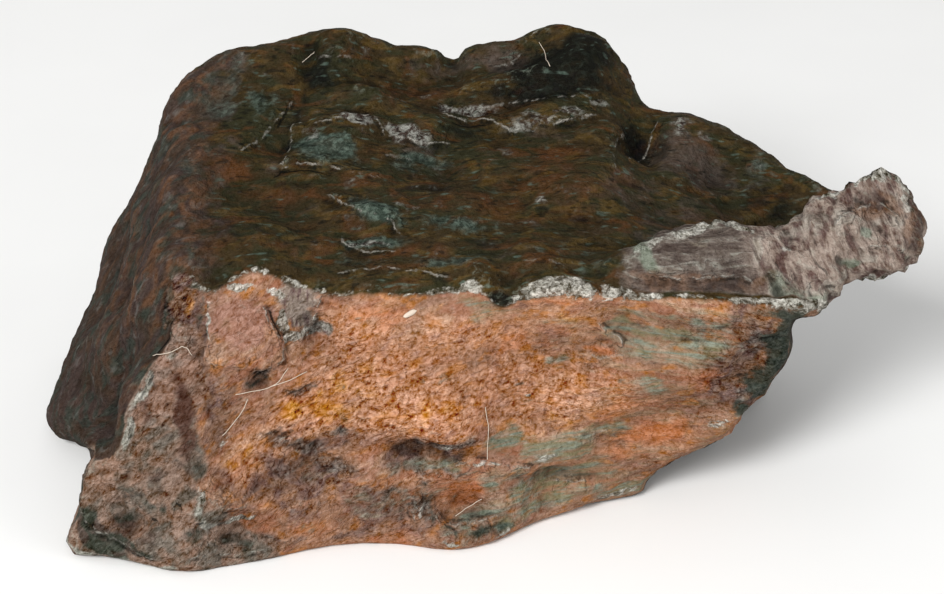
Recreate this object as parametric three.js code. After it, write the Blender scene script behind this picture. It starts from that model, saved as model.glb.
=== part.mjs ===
// Meteorite: one lump of torn, weathered iron, a natural solid with no parts in it.
// Millimetres; +X to the right along the lump, +Y to the back, +Z up; it stands on z = 0.
//
// The lump is written as one field, negative inside and positive outside. Six reliefs (top, broken front,
// leaning left face, back, right side, underside) are joined by rounded corners; the foot slab, the flange
// and the horn are added to them; dents and thumb-prints are taken away; and the outline the lump shows
// from SIGHT trims the whole. The field's zero level is then meshed with cells of CELL and cut flat at z = 0.
import * as THREE from "three";

// ---------------------------------------------------------------- driving dimensions (mm)

const CELL = 2.6; // edge of a meshing cell
const BOUNDS_MIN = [-71, -40.2, -6.4];
const BOUNDS_MAX = [66, 46, 57];
const DATUM = [2.5, -1.1, 0]; // added to every point at the end: puts the origin under the lump's middle

const ROUND_RIM = 1.3; // corner rounding where the top meets the front
const ROUND_SIDE = 2.6; // corner rounding of the other edges
const ROUND_TRIM = 1.2; // rounding where the outline trims the lump
const TRIM_EASE = 0.15; // the outline is drawn this much wider, as a mesh's chords cut inside it
const SWELL = 1; // the reliefs stand this far proud before they are trimmed
// A reading across a leaning face, times the cosine of its lean, is a distance from that face.
const LEAN_TOP = 0.94;
const LEAN_FRONT = 0.95;
const LEAN_SIDE = 0.9;
const LEAN_SLAB_BACK = 0.8;
const BED = 1.4; // depth of the underside's middle below the resting plane, before it is cut flat

// Rim where the top meets the front: [x, y, z].
const RIM = [
  [-46, -17, 35.4], [-39.7, -18, 35.4], [-35.5, -18.6, 35], [-28.8, -19, 35.3], [-19.5, -19.6, 35.2],
  [-11, -20, 35.2], [-1, -20.5, 35.1], [9.3, -20.9, 34.7], [19.5, -21.4, 34.3], [32, -21.8, 33.7],
  [40, -21, 32.3], [46, -17.6, 30.8],
];
// Foot of the broken front on the ground: [x, y].
const FOOT = [
  [-58, -28], [-52, -30], [-47.5, -31], [-38.6, -33.6], [-32, -32.2], [-24.6, -29.2], [-18, -27.6],
  [-11.4, -27.8], [-4.8, -28.8], [0, -27.2], [6, -23.4], [10, -21], [15.5, -18.6], [21, -17.4], [28, -15.5],
  [34, -13], [41, -9],
];
// Crest along the back of the top: [x, y, z].
const CREST = [
  [-50, 16, 41.5], [-45, 20, 44.6], [-40, 22.5, 47.4], [-35.8, 24, 48.4], [-29.5, 25, 48.9], [-21.8, 26, 50],
  [-15, 26, 49.2], [-8.5, 26, 47.9], [-1.5, 26, 48.6], [3.4, 26, 49.6], [8.3, 26, 51.2], [12.5, 25.6, 50.9],
  [16.7, 24.5, 48.8], [20, 22.5, 45], [23, 20, 42.2], [29.2, 18, 41.2], [35.3, 15, 39], [41.1, 10, 37.4],
  [47.7, 2, 37.6], [54, -6, 37.6],
];
// Share of the rise from rim to crest reached at a share of the way across the top.
const TOP_PROFILE = [
  [0, 0], [0.1, 0.1], [0.27, 0.19], [0.44, 0.34], [0.66, 0.5], [0.79, 0.62], [0.9, 0.84], [1, 1],
];

// Leaning left face: a point on it, and its outward direction; a second facet breaks its front corner.
const LEFT_POINT = [-61.4, -2, 2];
const LEFT_OUT = [-0.869, -0.156, 0.461];
const CORNER_POINT = [-39.9, -18, 35.7];
const CORNER_OUT = [-0.676, -0.728, 0.112];

// Back of the lump: between these shares of its height it bellies out behind the crest and tucks in again.
const BACK_BELLY = 8.5;
const BACK_BELLY_SHARES = [1, 0.35];
const BACK_TUCK = 4;
const BACK_TUCK_SHARES = [0.3, 0];
// Right side: its place at the ground, how far it leans out between two heights, and its taper to both ends.
const RIGHT_FOOT = 43;
const RIGHT_FLARE = 10;
const RIGHT_FLARE_HEIGHTS = [12, 33];
const RIGHT_TAPER = 0.12;
// The front right corner of the underside lifts off the ground: how far, from where to where along x and y.
const LIFT = 2.4;
const LIFT_X = [10, 42];
const LIFT_Y = [10, -14];
// The front curls in under the lump more and more from here to here along x.
const CURL_X = [-5, 18];

// Left edge of the foot slab: [z, x].
const SLAB_EDGE = [
  [-3, -58.5], [3, -55.8], [7.7, -53.8], [10, -52.8], [12.6, -51.2], [14, -48.4], [15.5, -46.9],
  [19.8, -45.9], [23, -44.3], [26, -42], [28.5, -40],
];
const SLAB_TOP = 29.5;
const SLAB_THIN = 5; // depth front to back at its free left end
const SLAB_THICK = 15; // and where it joins the lump
const SLAB_THICKENS = [-57, -45]; // from here to here along x
const SLAB_PROUD = 0.7; // how far it stands out of the broken front
const SLAB_FADE = [-35, -39]; // from here to here along x it comes out of the front
const SLAB_RIGHT = -28.3; // its hidden right edge at the ground
const SLAB_LEAN = 0.27; // and how that edge leans to the left with height
const SLAB_SEAM = 0.8; // rounding where it meets the lump

// Flange and horn, a bar that swells to a knob: [x, y, z, radius].
const HORN = [
  [17, -17.4, 34.6, 2.6], [24, -16.6, 35.6, 4], [31, -16.2, 35.2, 4.2], [40, -14.8, 34.4, 5.2],
  [46.5, -12, 37.2, 6.2], [52, -10.4, 39.2, 6.4],
];
const HORN_DEPTH_SHARE = 0.82; // the bar is flatter front to back than it is tall
const HORN_SEAM = 2.6; // rounding where it meets the lump

// Swellings and dents of the top: [x, y, radius along x, radius along y, turn in degrees, height].
const TOP_RELIEF = [
  [-31, 15.5, 7, 7, 20, 1.5], // smooth lobe under the left crest
  [-41, 10, 4, 12, 0, 0.7],
  [-20.3, 20.5, 3.4, 3.2, 0, 1.6], // round lump
  [-24.8, 20.5, 1.7, 4, -10, -1.6], // cleft beside it
  [-9, 20.5, 9, 2.6, 0, -1.1], // trough under the notch
  [6.5, 21.3, 5.5, 2.8, -8, -2.8], // hollow before the big lobe
  [13.5, 21, 4.5, 3, 20, 1.4],
  [3, 17.6, 8, 1.7, 4, 1.8], // long flake
  [3.5, 14.2, 7, 1.5, 2, -1.1],
  [14.8, 16.8, 3, 2, 0, 1.4],
  [-16.5, 14.6, 5, 1.8, -8, 1.7], // short flake
  [-15, 11.6, 7, 1.4, -6, -0.9],
  [-7.5, 11, 6, 2.6, -12, 1.1],
  [-22, 10, 6, 3, -30, 1.1],
  [-27, 6, 4.5, 1.4, 12, -0.9],
  [-15.5, -3, 6, 2.2, -38, 0.9],
  [-15.5, -8, 4.6, 2, -8, 0.9],
  [-34, 2, 5, 8, 0, 0.6],
  [-3, 1, 8, 4, -20, -1],
  [8, -6, 9, 4, 10, 0.9],
  [10, 6, 7, 4, -15, -0.9],
  [21.6, 9.5, 3, 5.2, -12, -2.6], // pocket
  [26, 14.5, 3, 3, 0, 1.3],
  [31.5, 8.5, 3.4, 4.6, -30, -1.5],
  [38, -3, 8, 5.4, -16, -3.4], // hollow behind the flange
  [24, -6, 5, 5, 0, -0.8],
  [-4.6, 27, 2, 6, 0, -2.6], // notch in the crest
  [-35.3, -19, 2.4, 2.6, 0, -1.5], // chips out of the rim
  [2.6, -21, 2.6, 3.2, 0, -1.7],
  [-11, -20.5, 3, 2, 0, -0.5],
  [-38.5, -16.5, 3, 3, 0, 0.9], // and lumps of crust along it
  [-29, -18.6, 3, 2.6, 0, 0.8],
  [-1, -20, 2.2, 2.6, 0, 1.2],
  [10, -20, 5, 2.6, 0, 0.7],
];
// Swellings and dents of the front: [x, z, radius along x, radius along z, turn in degrees, height].
const FRONT_RELIEF = [
  [-31.5, 29, 4.6, 5, 0, 1.5], // raised plate
  [-23, 29, 2.6, 4.2, 24, -1.6], // wedge-shaped scoop beside it
  [-29.6, 23.4, 1.7, 1.2, 0, -1.4], // pit
  [-37.5, 28, 1.8, 6, 0, -0.9],
  [-39, 29, 1.4, 3.2, 0, 1],
  [-14, 28, 7, 5, 0, 0.6],
  [-12, 19, 9, 4, -10, 0.9],
  [-6, 13.6, 7, 2, -6, -1.7], // dark groove
  [-21, 13, 6, 3, 20, -1],
  [-15.8, 11.5, 3.2, 4, 12, 1.3],
  [-3.4, 5.6, 4.6, 3.8, -10, -2.8], // bowl
  [-3, 1.6, 6, 1.4, 0, 1.1],
  [7, 11.5, 7.4, 2.4, -6, 1.5], // shelf
  [8, 8, 6, 1.4, -8, -1],
  [-34, 8.3, 4.6, 1.3, -10, 1.3], // lip at the foot of the slab
  [-31, 4.6, 5, 2.2, 0, -1.2],
  [-24, 6, 4, 3, 0, 0.8],
  [12, 28, 8, 3, -4, -0.7],
  [24, 30, 9, 1.8, -4, -0.8],
  [14, 21, 8, 3, 16, 0.9],
  [22, 15, 6, 5, 30, -1],
  [34, 24, 4, 6, 0, -1.4],
  [30, 12, 6, 4, 30, 0.9],
  [-46.5, 16, 3.6, 3, -30, 0.9],
  [-48, 7, 5, 3.4, 0, -0.9],
];
// Thumb-prints pressed into the faces at the back, the sides and below: [x, y, z, radius, depth].
const THUMBPRINTS = [
  [-34, 29, 34, 8, 2.2], [-19, 35, 30, 13, 4], [2, 33, 38, 8, 2.4], [9, 36, 25, 11, 3.4],
  [21, 29, 33, 7, 2], [-35, 34, 17, 9, 2.6], [-14, 38, 9, 10, 2.8], [-1, 36, 14, 6, 1.6],
  [23, 33, 13, 11, 3.2], [30, 22, 32, 6, 1.8], [38, 22, 20, 12, 3], [47, 8, 28, 9, 2.4],
  [44, 8, 8, 11, 3], [46, -9, 19, 6, 1.6], [-47, 27, 30, 10, 2.8], [-51, 27, 12, 12, 3.2],
  [-61, 9, 9, 6, 0.9], [-54, 6, 24, 11, 1.7], [-49, -8, 27, 5, 0.9], [-54, -7, 14, 6, 1],
  [-60, 18, 18, 6, 1.6], [8, 37, 4, 9, 2],
];
// Broad undulation: [waves per mm along x, y, z, phase, height].
const SWELLS = [
  [0.19, 0.13, -0.15, 0.4, 0.34], [-0.13, 0.29, 0.24, 1.9, 0.3], [0.33, -0.24, 0.21, 3.1, 0.22],
  [0.21, 0.44, -0.35, 5.2, 0.2], [-0.49, 0.17, 0.4, 0.9, 0.15], [0.37, 0.53, 0.31, 2.6, 0.13],
];

// The eye the outline is drawn for: it looks from 30 degrees above, square to the front.
const SIGHT_TARGET = [-1.9, 0, 22];
const SIGHT_RANGE = 360;
const SIGHT_TILT = THREE.MathUtils.degToRad(30);
// Outline of the lump from there, clockwise from the lower left corner: [across, up] from SIGHT_TARGET.
const OUTLINE = [
  [-57.8, -15.2], [-57.9, -16.8], [-57.4, -18.2], [-56.2, -19.2], [-54.2, -19.7], [-52.6, -20.5], // left face
  [-51.4, -21.1], [-51.6, -22.1], [-52.6, -23.2], [-53.2, -25.1], [-53.3, -27.3], [-53.7, -29.2], // foot slab
  [-54.5, -31.1], [-55.3, -33], [-55.6, -34.2], [-54.8, -35.1], [-53.2, -35.3], [-51, -35.3],
  [-47.5, -35.8], [-44.8, -36.4], [-41.4, -37.3], [-37.3, -37.4], [-34.2, -36.8], [-31.1, -36.3], // foot
  [-27, -35.5], [-22.9, -34.5], [-18.8, -33.8], [-14.7, -33.6], [-10.5, -33.7], [-6.4, -34.2],
  [-3, -34.4], [-0.3, -34.1], [1.8, -33.4], [3.8, -32.7], [5.9, -31.9], [7.9, -31],
  [10, -30.1], [12.3, -29.3], [15.5, -28.2], [18.2, -27.8], [21.9, -27.3], [23.4, -26.4],
  [23.8, -25.1], [25.2, -23.7], [28.5, -21.6], [31.9, -20.3], [34.7, -18.8], [36.4, -16.8], // lifting corner
  [36.8, -15.6], [38.4, -14.1], [40, -12.6], [41.6, -10.5], [42.9, -8.6], [43.6, -6.6],
  [43.4, -4.5], [43.7, -3], [44.9, -2.5], [47, -2.3], [48.1, -1.2], [49, 0.1], // horn
  [50.5, 1.8], [52.9, 2.9], [55.2, 3.6], [57.3, 3.4], [59, 4.2], [60.3, 5.8],
  [61.2, 7.5], [61.9, 9.7], [61.1, 11.2], [59.7, 12.6], [59.3, 14.7], [57.5, 16],
  [55.5, 16.4], [53.2, 15.5], [51.5, 14.5], [49.7, 14.5], [47.9, 15.2], [46, 16.2],
  [42.9, 17.8], [40.1, 20], [37.4, 21.5], [34.7, 22.9], [31.6, 24.1], [29.2, 25.1], // right shoulder
  [26.4, 25.5], [24.4, 25.9], [23, 27.1], [21.9, 29.5], [20.3, 32.7], [18.2, 35.1], // big lobe
  [16.2, 36.4], [14.1, 37], [12.1, 37.3], [10, 37.1], [8.2, 36.3], [5.9, 35.1],
  [3.8, 34.8], [1.1, 34.8], [-1, 34.1], [-2.3, 32.9], [-3.4, 33.2], [-4.7, 33.8], // notch
  [-7.1, 34.2], [-9.9, 34.4], [-11.9, 34.8], [-14.2, 36], [-16.7, 36.6], [-19.5, 36.7], // left lobes
  [-21.9, 36.3], [-24.2, 35.8], [-27, 34.9], [-30.4, 34], [-33.4, 33.7], [-35.9, 32.7],
  [-37.9, 31.1], [-40, 29.7], [-41.6, 27.9], [-42.6, 24.9], [-43.2, 21.5], [-44.4, 19], // left face, upwards
  [-45.5, 16], [-47.4, 12.5], [-49.7, 7.8], [-50.7, 3.7], [-51.8, -0.4], [-53.7, -4.5],
  [-55.3, -8.6], [-56.7, -12.1],
];

// ---------------------------------------------------------------- small helpers

// Smooth maximum: the two fields meet in a corner rounded over the width k.
function smax(a, b, k) {
  const h = Math.max(k - Math.abs(a - b), 0) / k;
  return Math.max(a, b) + (h * h * k) / 4;
}

function smin(a, b, k) {
  return -smax(-a, -b, k);
}

// Smooth step from 0 at `from` to 1 at `to`, which may lie either way round.
function smooth(from, to, v) {
  const t = THREE.MathUtils.clamp((v - from) / (to - from), 0, 1);
  return t * t * (3 - 2 * t);
}

// Column `column` of a table whose first column rises, read at s along a smooth curve through its rows.
function along(table, s, column = 1) {
  const last = table.length - 1;
  const v = Math.min(Math.max(s, table[0][0]), table[last][0]);
  let i = 0;
  while (i < last - 1 && v > table[i + 1][0]) i++;
  const slope = (j) => {
    const a = table[Math.max(j - 1, 0)];
    const b = table[Math.min(j + 1, last)];
    return (b[column] - a[column]) / (b[0] - a[0]);
  };
  const width = table[i + 1][0] - table[i][0];
  const t = (v - table[i][0]) / width;
  const rise = table[i + 1][column] - table[i][column];
  const bend = t * (1 - t) * ((1 - t) * (slope(i) * width - rise) - t * (slope(i + 1) * width - rise));
  return table[i][column] + t * rise + bend;
}

// Sum of oval swellings at (u, v).
function relief(rows, u, v) {
  let sum = 0;
  for (const [cu, cv, ru, rv, turn, height] of rows) {
    const a = THREE.MathUtils.degToRad(turn);
    const p = ((u - cu) * Math.cos(a) + (v - cv) * Math.sin(a)) / ru;
    const q = ((v - cv) * Math.cos(a) - (u - cu) * Math.sin(a)) / rv;
    sum += height * Math.exp(-(p * p + q * q));
  }
  return sum;
}

function plane(point, out, x, y, z) {
  return (x - point[0]) * out[0] + (y - point[1]) * out[1] + (z - point[2]) * out[2];
}

// ---------------------------------------------------------------- the reliefs

function topHeight(x, y) {
  const front = along(RIM, x, 1);
  const share = (y - front) / (along(CREST, x, 1) - front);
  const low = along(RIM, x, 2);
  const rise = along(CREST, x, 2) - low;
  return low + rise * along(TOP_PROFILE, share) + relief(TOP_RELIEF, x, y);
}

// Front face at (x, z): it leans out to the foot at the left and curls in under the lump at the right.
function frontDepth(x, z) {
  const share = THREE.MathUtils.clamp(z / along(RIM, x, 2), -0.1, 1.2);
  const curl = 1 + smooth(...CURL_X, x);
  const across = 1 - Math.sign(1 - share) * Math.pow(Math.abs(1 - share), curl);
  const foot = along(FOOT, x);
  return foot + (along(RIM, x, 1) - foot) * across - relief(FRONT_RELIEF, x, z);
}

function backDepth(x, z) {
  const share = THREE.MathUtils.clamp(z / along(CREST, x, 2), 0, 1.1);
  const belly = BACK_BELLY * smooth(...BACK_BELLY_SHARES, share);
  const tuck = BACK_TUCK * smooth(...BACK_TUCK_SHARES, share);
  return along(CREST, x, 1) + belly - tuck;
}

function body(x, y, z) {
  const top = LEAN_TOP * (z - topHeight(x, y));
  const front = LEAN_FRONT * (frontDepth(x, z) - y);
  const back = LEAN_SIDE * (y - backDepth(x, z));
  const corner = plane(CORNER_POINT, CORNER_OUT, x, y, z);
  const left = smax(plane(LEFT_POINT, LEFT_OUT, x, y, z), corner, ROUND_SIDE);
  const flare = RIGHT_FLARE * smooth(...RIGHT_FLARE_HEIGHTS, z);
  const right = LEAN_SIDE * (x - RIGHT_FOOT - flare + RIGHT_TAPER * Math.abs(y));
  const under = LIFT * smooth(...LIFT_X, x) * smooth(...LIFT_Y, y) - z - BED;
  const rim = smax(top, front, ROUND_RIM);
  const ends = smax(left, right, ROUND_SIDE);
  return smax(smax(rim, smax(back, ends, 2 * ROUND_SIDE), ROUND_SIDE), under, ROUND_SIDE);
}

function footSlab(x, y, z) {
  const face = frontDepth(x, z) - SLAB_PROUD * smooth(...SLAB_FADE, x);
  const front = LEAN_FRONT * (face - y);
  const thickness = SLAB_THIN + (SLAB_THICK - SLAB_THIN) * smooth(...SLAB_THICKENS, x);
  const back = LEAN_SLAB_BACK * (y - face - thickness);
  const edge = LEAN_SIDE * (along(SLAB_EDGE, z) - x);
  const right = x - SLAB_RIGHT + SLAB_LEAN * z;
  const ends = smax(smax(edge, right, ROUND_RIM), z - SLAB_TOP, ROUND_RIM);
  return smax(smax(front, back, ROUND_SIDE), smax(ends, -z - BED, ROUND_RIM), ROUND_RIM);
}

function horn(x, y, z) {
  let nearest = Infinity;
  for (let i = 1; i < HORN.length; i++) {
    const [ax, ay, az, ar] = HORN[i - 1];
    const [bx, by, bz, br] = HORN[i];
    const span = new THREE.Vector3(bx - ax, by - ay, bz - az);
    const from = new THREE.Vector3(x - ax, y - ay, z - az);
    const t = THREE.MathUtils.clamp(from.dot(span) / span.lengthSq(), 0, 1);
    from.addScaledVector(span, -t);
    from.y /= HORN_DEPTH_SHARE;
    nearest = Math.min(nearest, from.length() - ar - t * (br - ar));
  }
  return nearest;
}

// Signed distance to the edge of OUTLINE at a place (u, v) in its plane: negative inside.
function outlineDistance(u, v) {
  let nearest = Infinity;
  let inside = false;
  for (let i = 0, j = OUTLINE.length - 1; i < OUTLINE.length; j = i++) {
    const [au, av] = OUTLINE[j];
    const [bu, bv] = OUTLINE[i];
    const du = bu - au;
    const dv = bv - av;
    const t = THREE.MathUtils.clamp(((u - au) * du + (v - av) * dv) / (du * du + dv * dv), 0, 1);
    nearest = Math.min(nearest, Math.hypot(u - au - t * du, v - av - t * dv));
    if (av > v !== bv > v && u < au + ((v - av) / dv) * du) inside = !inside;
  }
  return inside ? -nearest : nearest;
}

// How far a point lies outside the cone of sight lines through OUTLINE.
function trim(x, y, z) {
  const c = Math.cos(SIGHT_TILT);
  const s = Math.sin(SIGHT_TILT);
  const dy = y - SIGHT_TARGET[1];
  const dz = z - SIGHT_TARGET[2];
  const scale = (SIGHT_RANGE + dy * c - dz * s) / SIGHT_RANGE;
  return outlineDistance((x - SIGHT_TARGET[0]) / scale, (dy * s + dz * c) / scale) * scale;
}

function stone(x, y, z) {
  let f = smin(body(x, y, z), footSlab(x, y, z), SLAB_SEAM);
  f = smin(f, horn(x, y, z), HORN_SEAM) - SWELL;
  for (const [px, py, pz, radius, depth] of THUMBPRINTS) {
    const away = Math.hypot(x - px, y - py, z - pz) / radius;
    f += depth * Math.max(1 - away * away, 0);
  }
  for (const [kx, ky, kz, phase, height] of SWELLS) f += height * Math.sin(kx * x + ky * y + kz * z + phase);
  return smax(f, trim(x, y, z) - TRIM_EASE, ROUND_TRIM);
}

// ---------------------------------------------------------------- meshing

const SLOPE_STEP = 0.02; // spacing of the field's central differences
const PULLS = 6; // rounds of evening out the mesh and pulling it back to the surface

function slopeAt(p) {
  const e = SLOPE_STEP;
  const dx = stone(p.x + e, p.y, p.z) - stone(p.x - e, p.y, p.z);
  const dy = stone(p.x, p.y + e, p.z) - stone(p.x, p.y - e, p.z);
  const dz = stone(p.x, p.y, p.z + e) - stone(p.x, p.y, p.z - e);
  return new THREE.Vector3(dx, dy, dz).divideScalar(2 * e);
}

// Moves p along the field's slope on to the zero level, at most half a cell, and never below the ground:
// the underside, which the field puts BED lower, comes out flat.
function pull(p) {
  const slope = slopeAt(p);
  const step = slope.multiplyScalar(-stone(p.x, p.y, p.z) / Math.max(slope.lengthSq(), 0.05));
  p.add(step.clampLength(0, CELL / 2));
  p.z = Math.max(p.z, 0);
}

// Where only two opposite corners of a cell's face lie inside, the surface would pinch there:
// a third corner is counted as inside too, until no such face is left.
function fillPinches(value, count, stride) {
  const barelyInside = -1e-3;
  let filled = 1;
  while (filled > 0) {
    filled = 0;
    for (let k = 0; k < count[2]; k++)
      for (let j = 0; j < count[1]; j++)
        for (let i = 0; i < count[0]; i++)
          for (let axis = 0; axis < 3; axis++) {
            const a = i * stride[0] + j * stride[1] + k * stride[2];
            const b = a + stride[axis];
            const c = a + stride[(axis + 1) % 3];
            const d = b + stride[(axis + 1) % 3];
            const [inA, inB, inC, inD] = [a, b, c, d].map((at) => value[at] < 0);
            if (inA !== inD || inB !== inC || inA === inB) continue;
            value[inA ? b : a] = barelyInside;
            filled++;
          }
  }
}

// Surface net: one vertex in each cell the surface crosses, four cells joined round each crossed edge.
function surfaceNet() {
  const count = [0, 1, 2].map((a) => Math.ceil((BOUNDS_MAX[a] - BOUNDS_MIN[a]) / CELL));
  const stride = [1, count[0] + 1, (count[0] + 1) * (count[1] + 1)];
  const corner = (i, j, k) => i + j * stride[1] + k * stride[2];
  const place = (i, j, k) =>
    new THREE.Vector3(BOUNDS_MIN[0] + i * CELL, BOUNDS_MIN[1] + j * CELL, BOUNDS_MIN[2] + k * CELL);
  const value = new Float64Array(stride[2] * (count[2] + 1));
  for (let k = 0; k <= count[2]; k++)
    for (let j = 0; j <= count[1]; j++)
      for (let i = 0; i <= count[0]; i++) {
        const p = place(i, j, k);
        value[corner(i, j, k)] = stone(p.x, p.y, p.z);
      }

  fillPinches(value, count, stride);

  const points = [];
  const pointOf = new Map();
  const cellPoint = (i, j, k) => {
    const key = corner(i, j, k);
    if (!pointOf.has(key)) {
      const sum = new THREE.Vector3();
      let crossings = 0;
      for (let axis = 0; axis < 3; axis++)
        for (let side = 0; side < 4; side++) {
          const at = [i, j, k];
          at[(axis + 1) % 3] += side & 1;
          at[(axis + 2) % 3] += side >> 1;
          const a = value[corner(...at)];
          const b = value[corner(...at) + stride[axis]];
          if (a < 0 === b < 0) continue;
          const crossing = place(...at);
          crossing.setComponent(axis, crossing.getComponent(axis) + (CELL * a) / (a - b));
          sum.add(crossing);
          crossings++;
        }
      pointOf.set(key, points.length);
      points.push(sum.divideScalar(crossings));
    }
    return pointOf.get(key);
  };

  const quads = [];
  for (let k = 1; k < count[2]; k++)
    for (let j = 1; j < count[1]; j++)
      for (let i = 1; i < count[0]; i++)
        for (let axis = 0; axis < 3; axis++) {
          const a = value[corner(i, j, k)] < 0;
          const b = value[corner(i, j, k) + stride[axis]] < 0;
          if (a === b) continue;
          const ring = [[1, 1], [0, 1], [0, 0], [1, 0]].map(([m, n]) => {
            const cell = [i, j, k];
            cell[(axis + 1) % 3] -= m;
            cell[(axis + 2) % 3] -= n;
            return cellPoint(...cell);
          });
          quads.push(a ? ring : ring.reverse());
        }
  return { points, quads };
}

// Moves every point part of the way to the middle of its neighbours; points on the ground stay on it.
function evenOut(points, quads, share) {
  const sums = points.map(() => new THREE.Vector3());
  const counts = new Float64Array(points.length);
  for (const quad of quads)
    quad.forEach((from, side) => {
      const to = quad[(side + 1) % 4];
      sums[from].add(points[to]);
      sums[to].add(points[from]);
      counts[from]++;
      counts[to]++;
    });
  points.forEach((p, i) => {
    const middle = sums[i].divideScalar(counts[i]);
    if (p.z === 0) middle.z = 0;
    p.lerp(middle, share);
  });
}

function stoneGeometry() {
  const { points, quads } = surfaceNet();
  for (let round = 0; round < PULLS; round++) {
    points.forEach(pull);
    evenOut(points, quads, 0.4);
  }
  points.forEach(pull);
  evenOut(points, quads, 0.12);

  // Each quad is split along its shorter diagonal, or along the other one where that joins two points
  // which an edge joins already.
  const edgeKey = (a, b) => Math.min(a, b) * points.length + Math.max(a, b);
  const edges = new Set();
  for (const quad of quads) quad.forEach((a, side) => edges.add(edgeKey(a, quad[(side + 1) % 4])));
  const index = [];
  for (const [a, b, c, d] of quads) {
    const shorter = points[a].distanceTo(points[c]) < points[b].distanceTo(points[d]);
    const splitAC = edges.has(edgeKey(b, d)) || (shorter && !edges.has(edgeKey(a, c)));
    edges.add(splitAC ? edgeKey(a, c) : edgeKey(b, d));
    if (splitAC) index.push(a, b, c, a, c, d);
    else index.push(a, b, d, b, c, d);
  }
  const whole = new THREE.BufferGeometry().setFromPoints(points);
  whole.setIndex(index);
  return whole;
}

// ---------------------------------------------------------------- the part

const geometry = stoneGeometry();
geometry.translate(...DATUM);
geometry.computeVertexNormals();

const rust = new THREE.MeshStandardMaterial({ color: 0x7a5a46, roughness: 0.75, metalness: 0.3 });
const meteorite = new THREE.Mesh(geometry, rust);
meteorite.name = "meteorite";

const group = new THREE.Group();
group.add(meteorite);
export default group;
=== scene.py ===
import math

import bmesh
import bpy
import numpy as np
from mathutils import Matrix, Vector, noise
from mathutils.bvhtree import BVHTree


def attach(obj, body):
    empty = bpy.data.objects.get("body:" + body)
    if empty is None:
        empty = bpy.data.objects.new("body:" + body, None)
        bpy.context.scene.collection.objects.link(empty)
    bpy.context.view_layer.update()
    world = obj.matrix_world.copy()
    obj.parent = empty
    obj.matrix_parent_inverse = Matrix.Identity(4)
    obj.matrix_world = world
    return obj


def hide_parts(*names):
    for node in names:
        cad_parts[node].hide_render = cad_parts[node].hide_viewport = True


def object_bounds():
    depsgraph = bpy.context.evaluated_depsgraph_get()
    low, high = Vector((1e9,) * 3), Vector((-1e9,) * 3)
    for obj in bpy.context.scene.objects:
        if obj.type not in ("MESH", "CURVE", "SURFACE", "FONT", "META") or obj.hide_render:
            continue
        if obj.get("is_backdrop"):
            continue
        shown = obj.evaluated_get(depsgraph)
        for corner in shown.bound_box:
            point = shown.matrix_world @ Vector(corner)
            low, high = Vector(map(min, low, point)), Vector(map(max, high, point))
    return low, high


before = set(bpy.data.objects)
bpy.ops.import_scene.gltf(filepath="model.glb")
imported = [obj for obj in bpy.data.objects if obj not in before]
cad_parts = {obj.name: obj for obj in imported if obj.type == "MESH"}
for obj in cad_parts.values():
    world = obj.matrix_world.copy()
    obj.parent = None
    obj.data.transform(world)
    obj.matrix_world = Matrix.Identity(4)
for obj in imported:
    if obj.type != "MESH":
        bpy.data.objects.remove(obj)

bl_info = {
    "name": "Weathered meteorite",
    "version": (1, 0, 0),
    "blender": (4, 5, 0),
    "location": "View3D > Sidebar > Meteorite",
    "description": "Dresses the packed meteorite with its crust, rust and flakes, and sets its stage",
    "category": "Object",
}

CAD_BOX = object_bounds()
MM = 0.001

# The stone's own field, in millimetres: the same named values as its solid has.
# Rim, foot and crest: x, then y and height along it; the foot is on the ground.
RIM = [
    [-46, -17, 35.4], [-39.7, -18, 35.4], [-35.5, -18.6, 35], [-28.8, -19, 35.3], [-19.5, -19.6, 35.2],
    [-11, -20, 35.2], [-1, -20.5, 35.1], [9.3, -20.9, 34.7], [19.5, -21.4, 34.3], [32, -21.8, 33.7],
    [40, -21, 32.3], [46, -17.6, 30.8],
]
FOOT = [
    [-58, -28], [-52, -30], [-47.5, -31], [-38.6, -33.6], [-32, -32.2], [-24.6, -29.2], [-18, -27.6],
    [-11.4, -27.8], [-4.8, -28.8], [0, -27.2], [6, -23.4], [10, -21], [15.5, -18.6], [21, -17.4],
    [28, -15.5], [34, -13], [41, -9],
]
CREST = [
    [-50, 16, 41.5], [-45, 20, 44.6], [-40, 22.5, 47.4], [-35.8, 24, 48.4], [-29.5, 25, 48.9],
    [-21.8, 26, 50], [-15, 26, 49.2], [-8.5, 26, 47.9], [-1.5, 26, 48.6], [3.4, 26, 49.6], [8.3, 26, 51.2],
    [12.5, 25.6, 50.9], [16.7, 24.5, 48.8], [20, 22.5, 45], [23, 20, 42.2], [29.2, 18, 41.2],
    [35.3, 15, 39], [41.1, 10, 37.4], [47.7, 2, 37.6], [54, -6, 37.6],
]
# How the top climbs: share of the way back from the rim to the crest, share of the rise.
TOP_PROFILE = [
    [0, 0], [0.1, 0.1], [0.27, 0.19], [0.44, 0.34], [0.66, 0.5], [0.79, 0.62], [0.9, 0.84], [1, 1],
]

# Left end and the cut corner beside it: a point on each plane and the way out of it.
LEFT_POINT = [-61.4, -2, 2]
LEFT_OUT = [-0.869, -0.156, 0.461]
CORNER_POINT = [-39.9, -18, 35.7]
CORNER_OUT = [-0.676, -0.728, 0.112]

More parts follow.
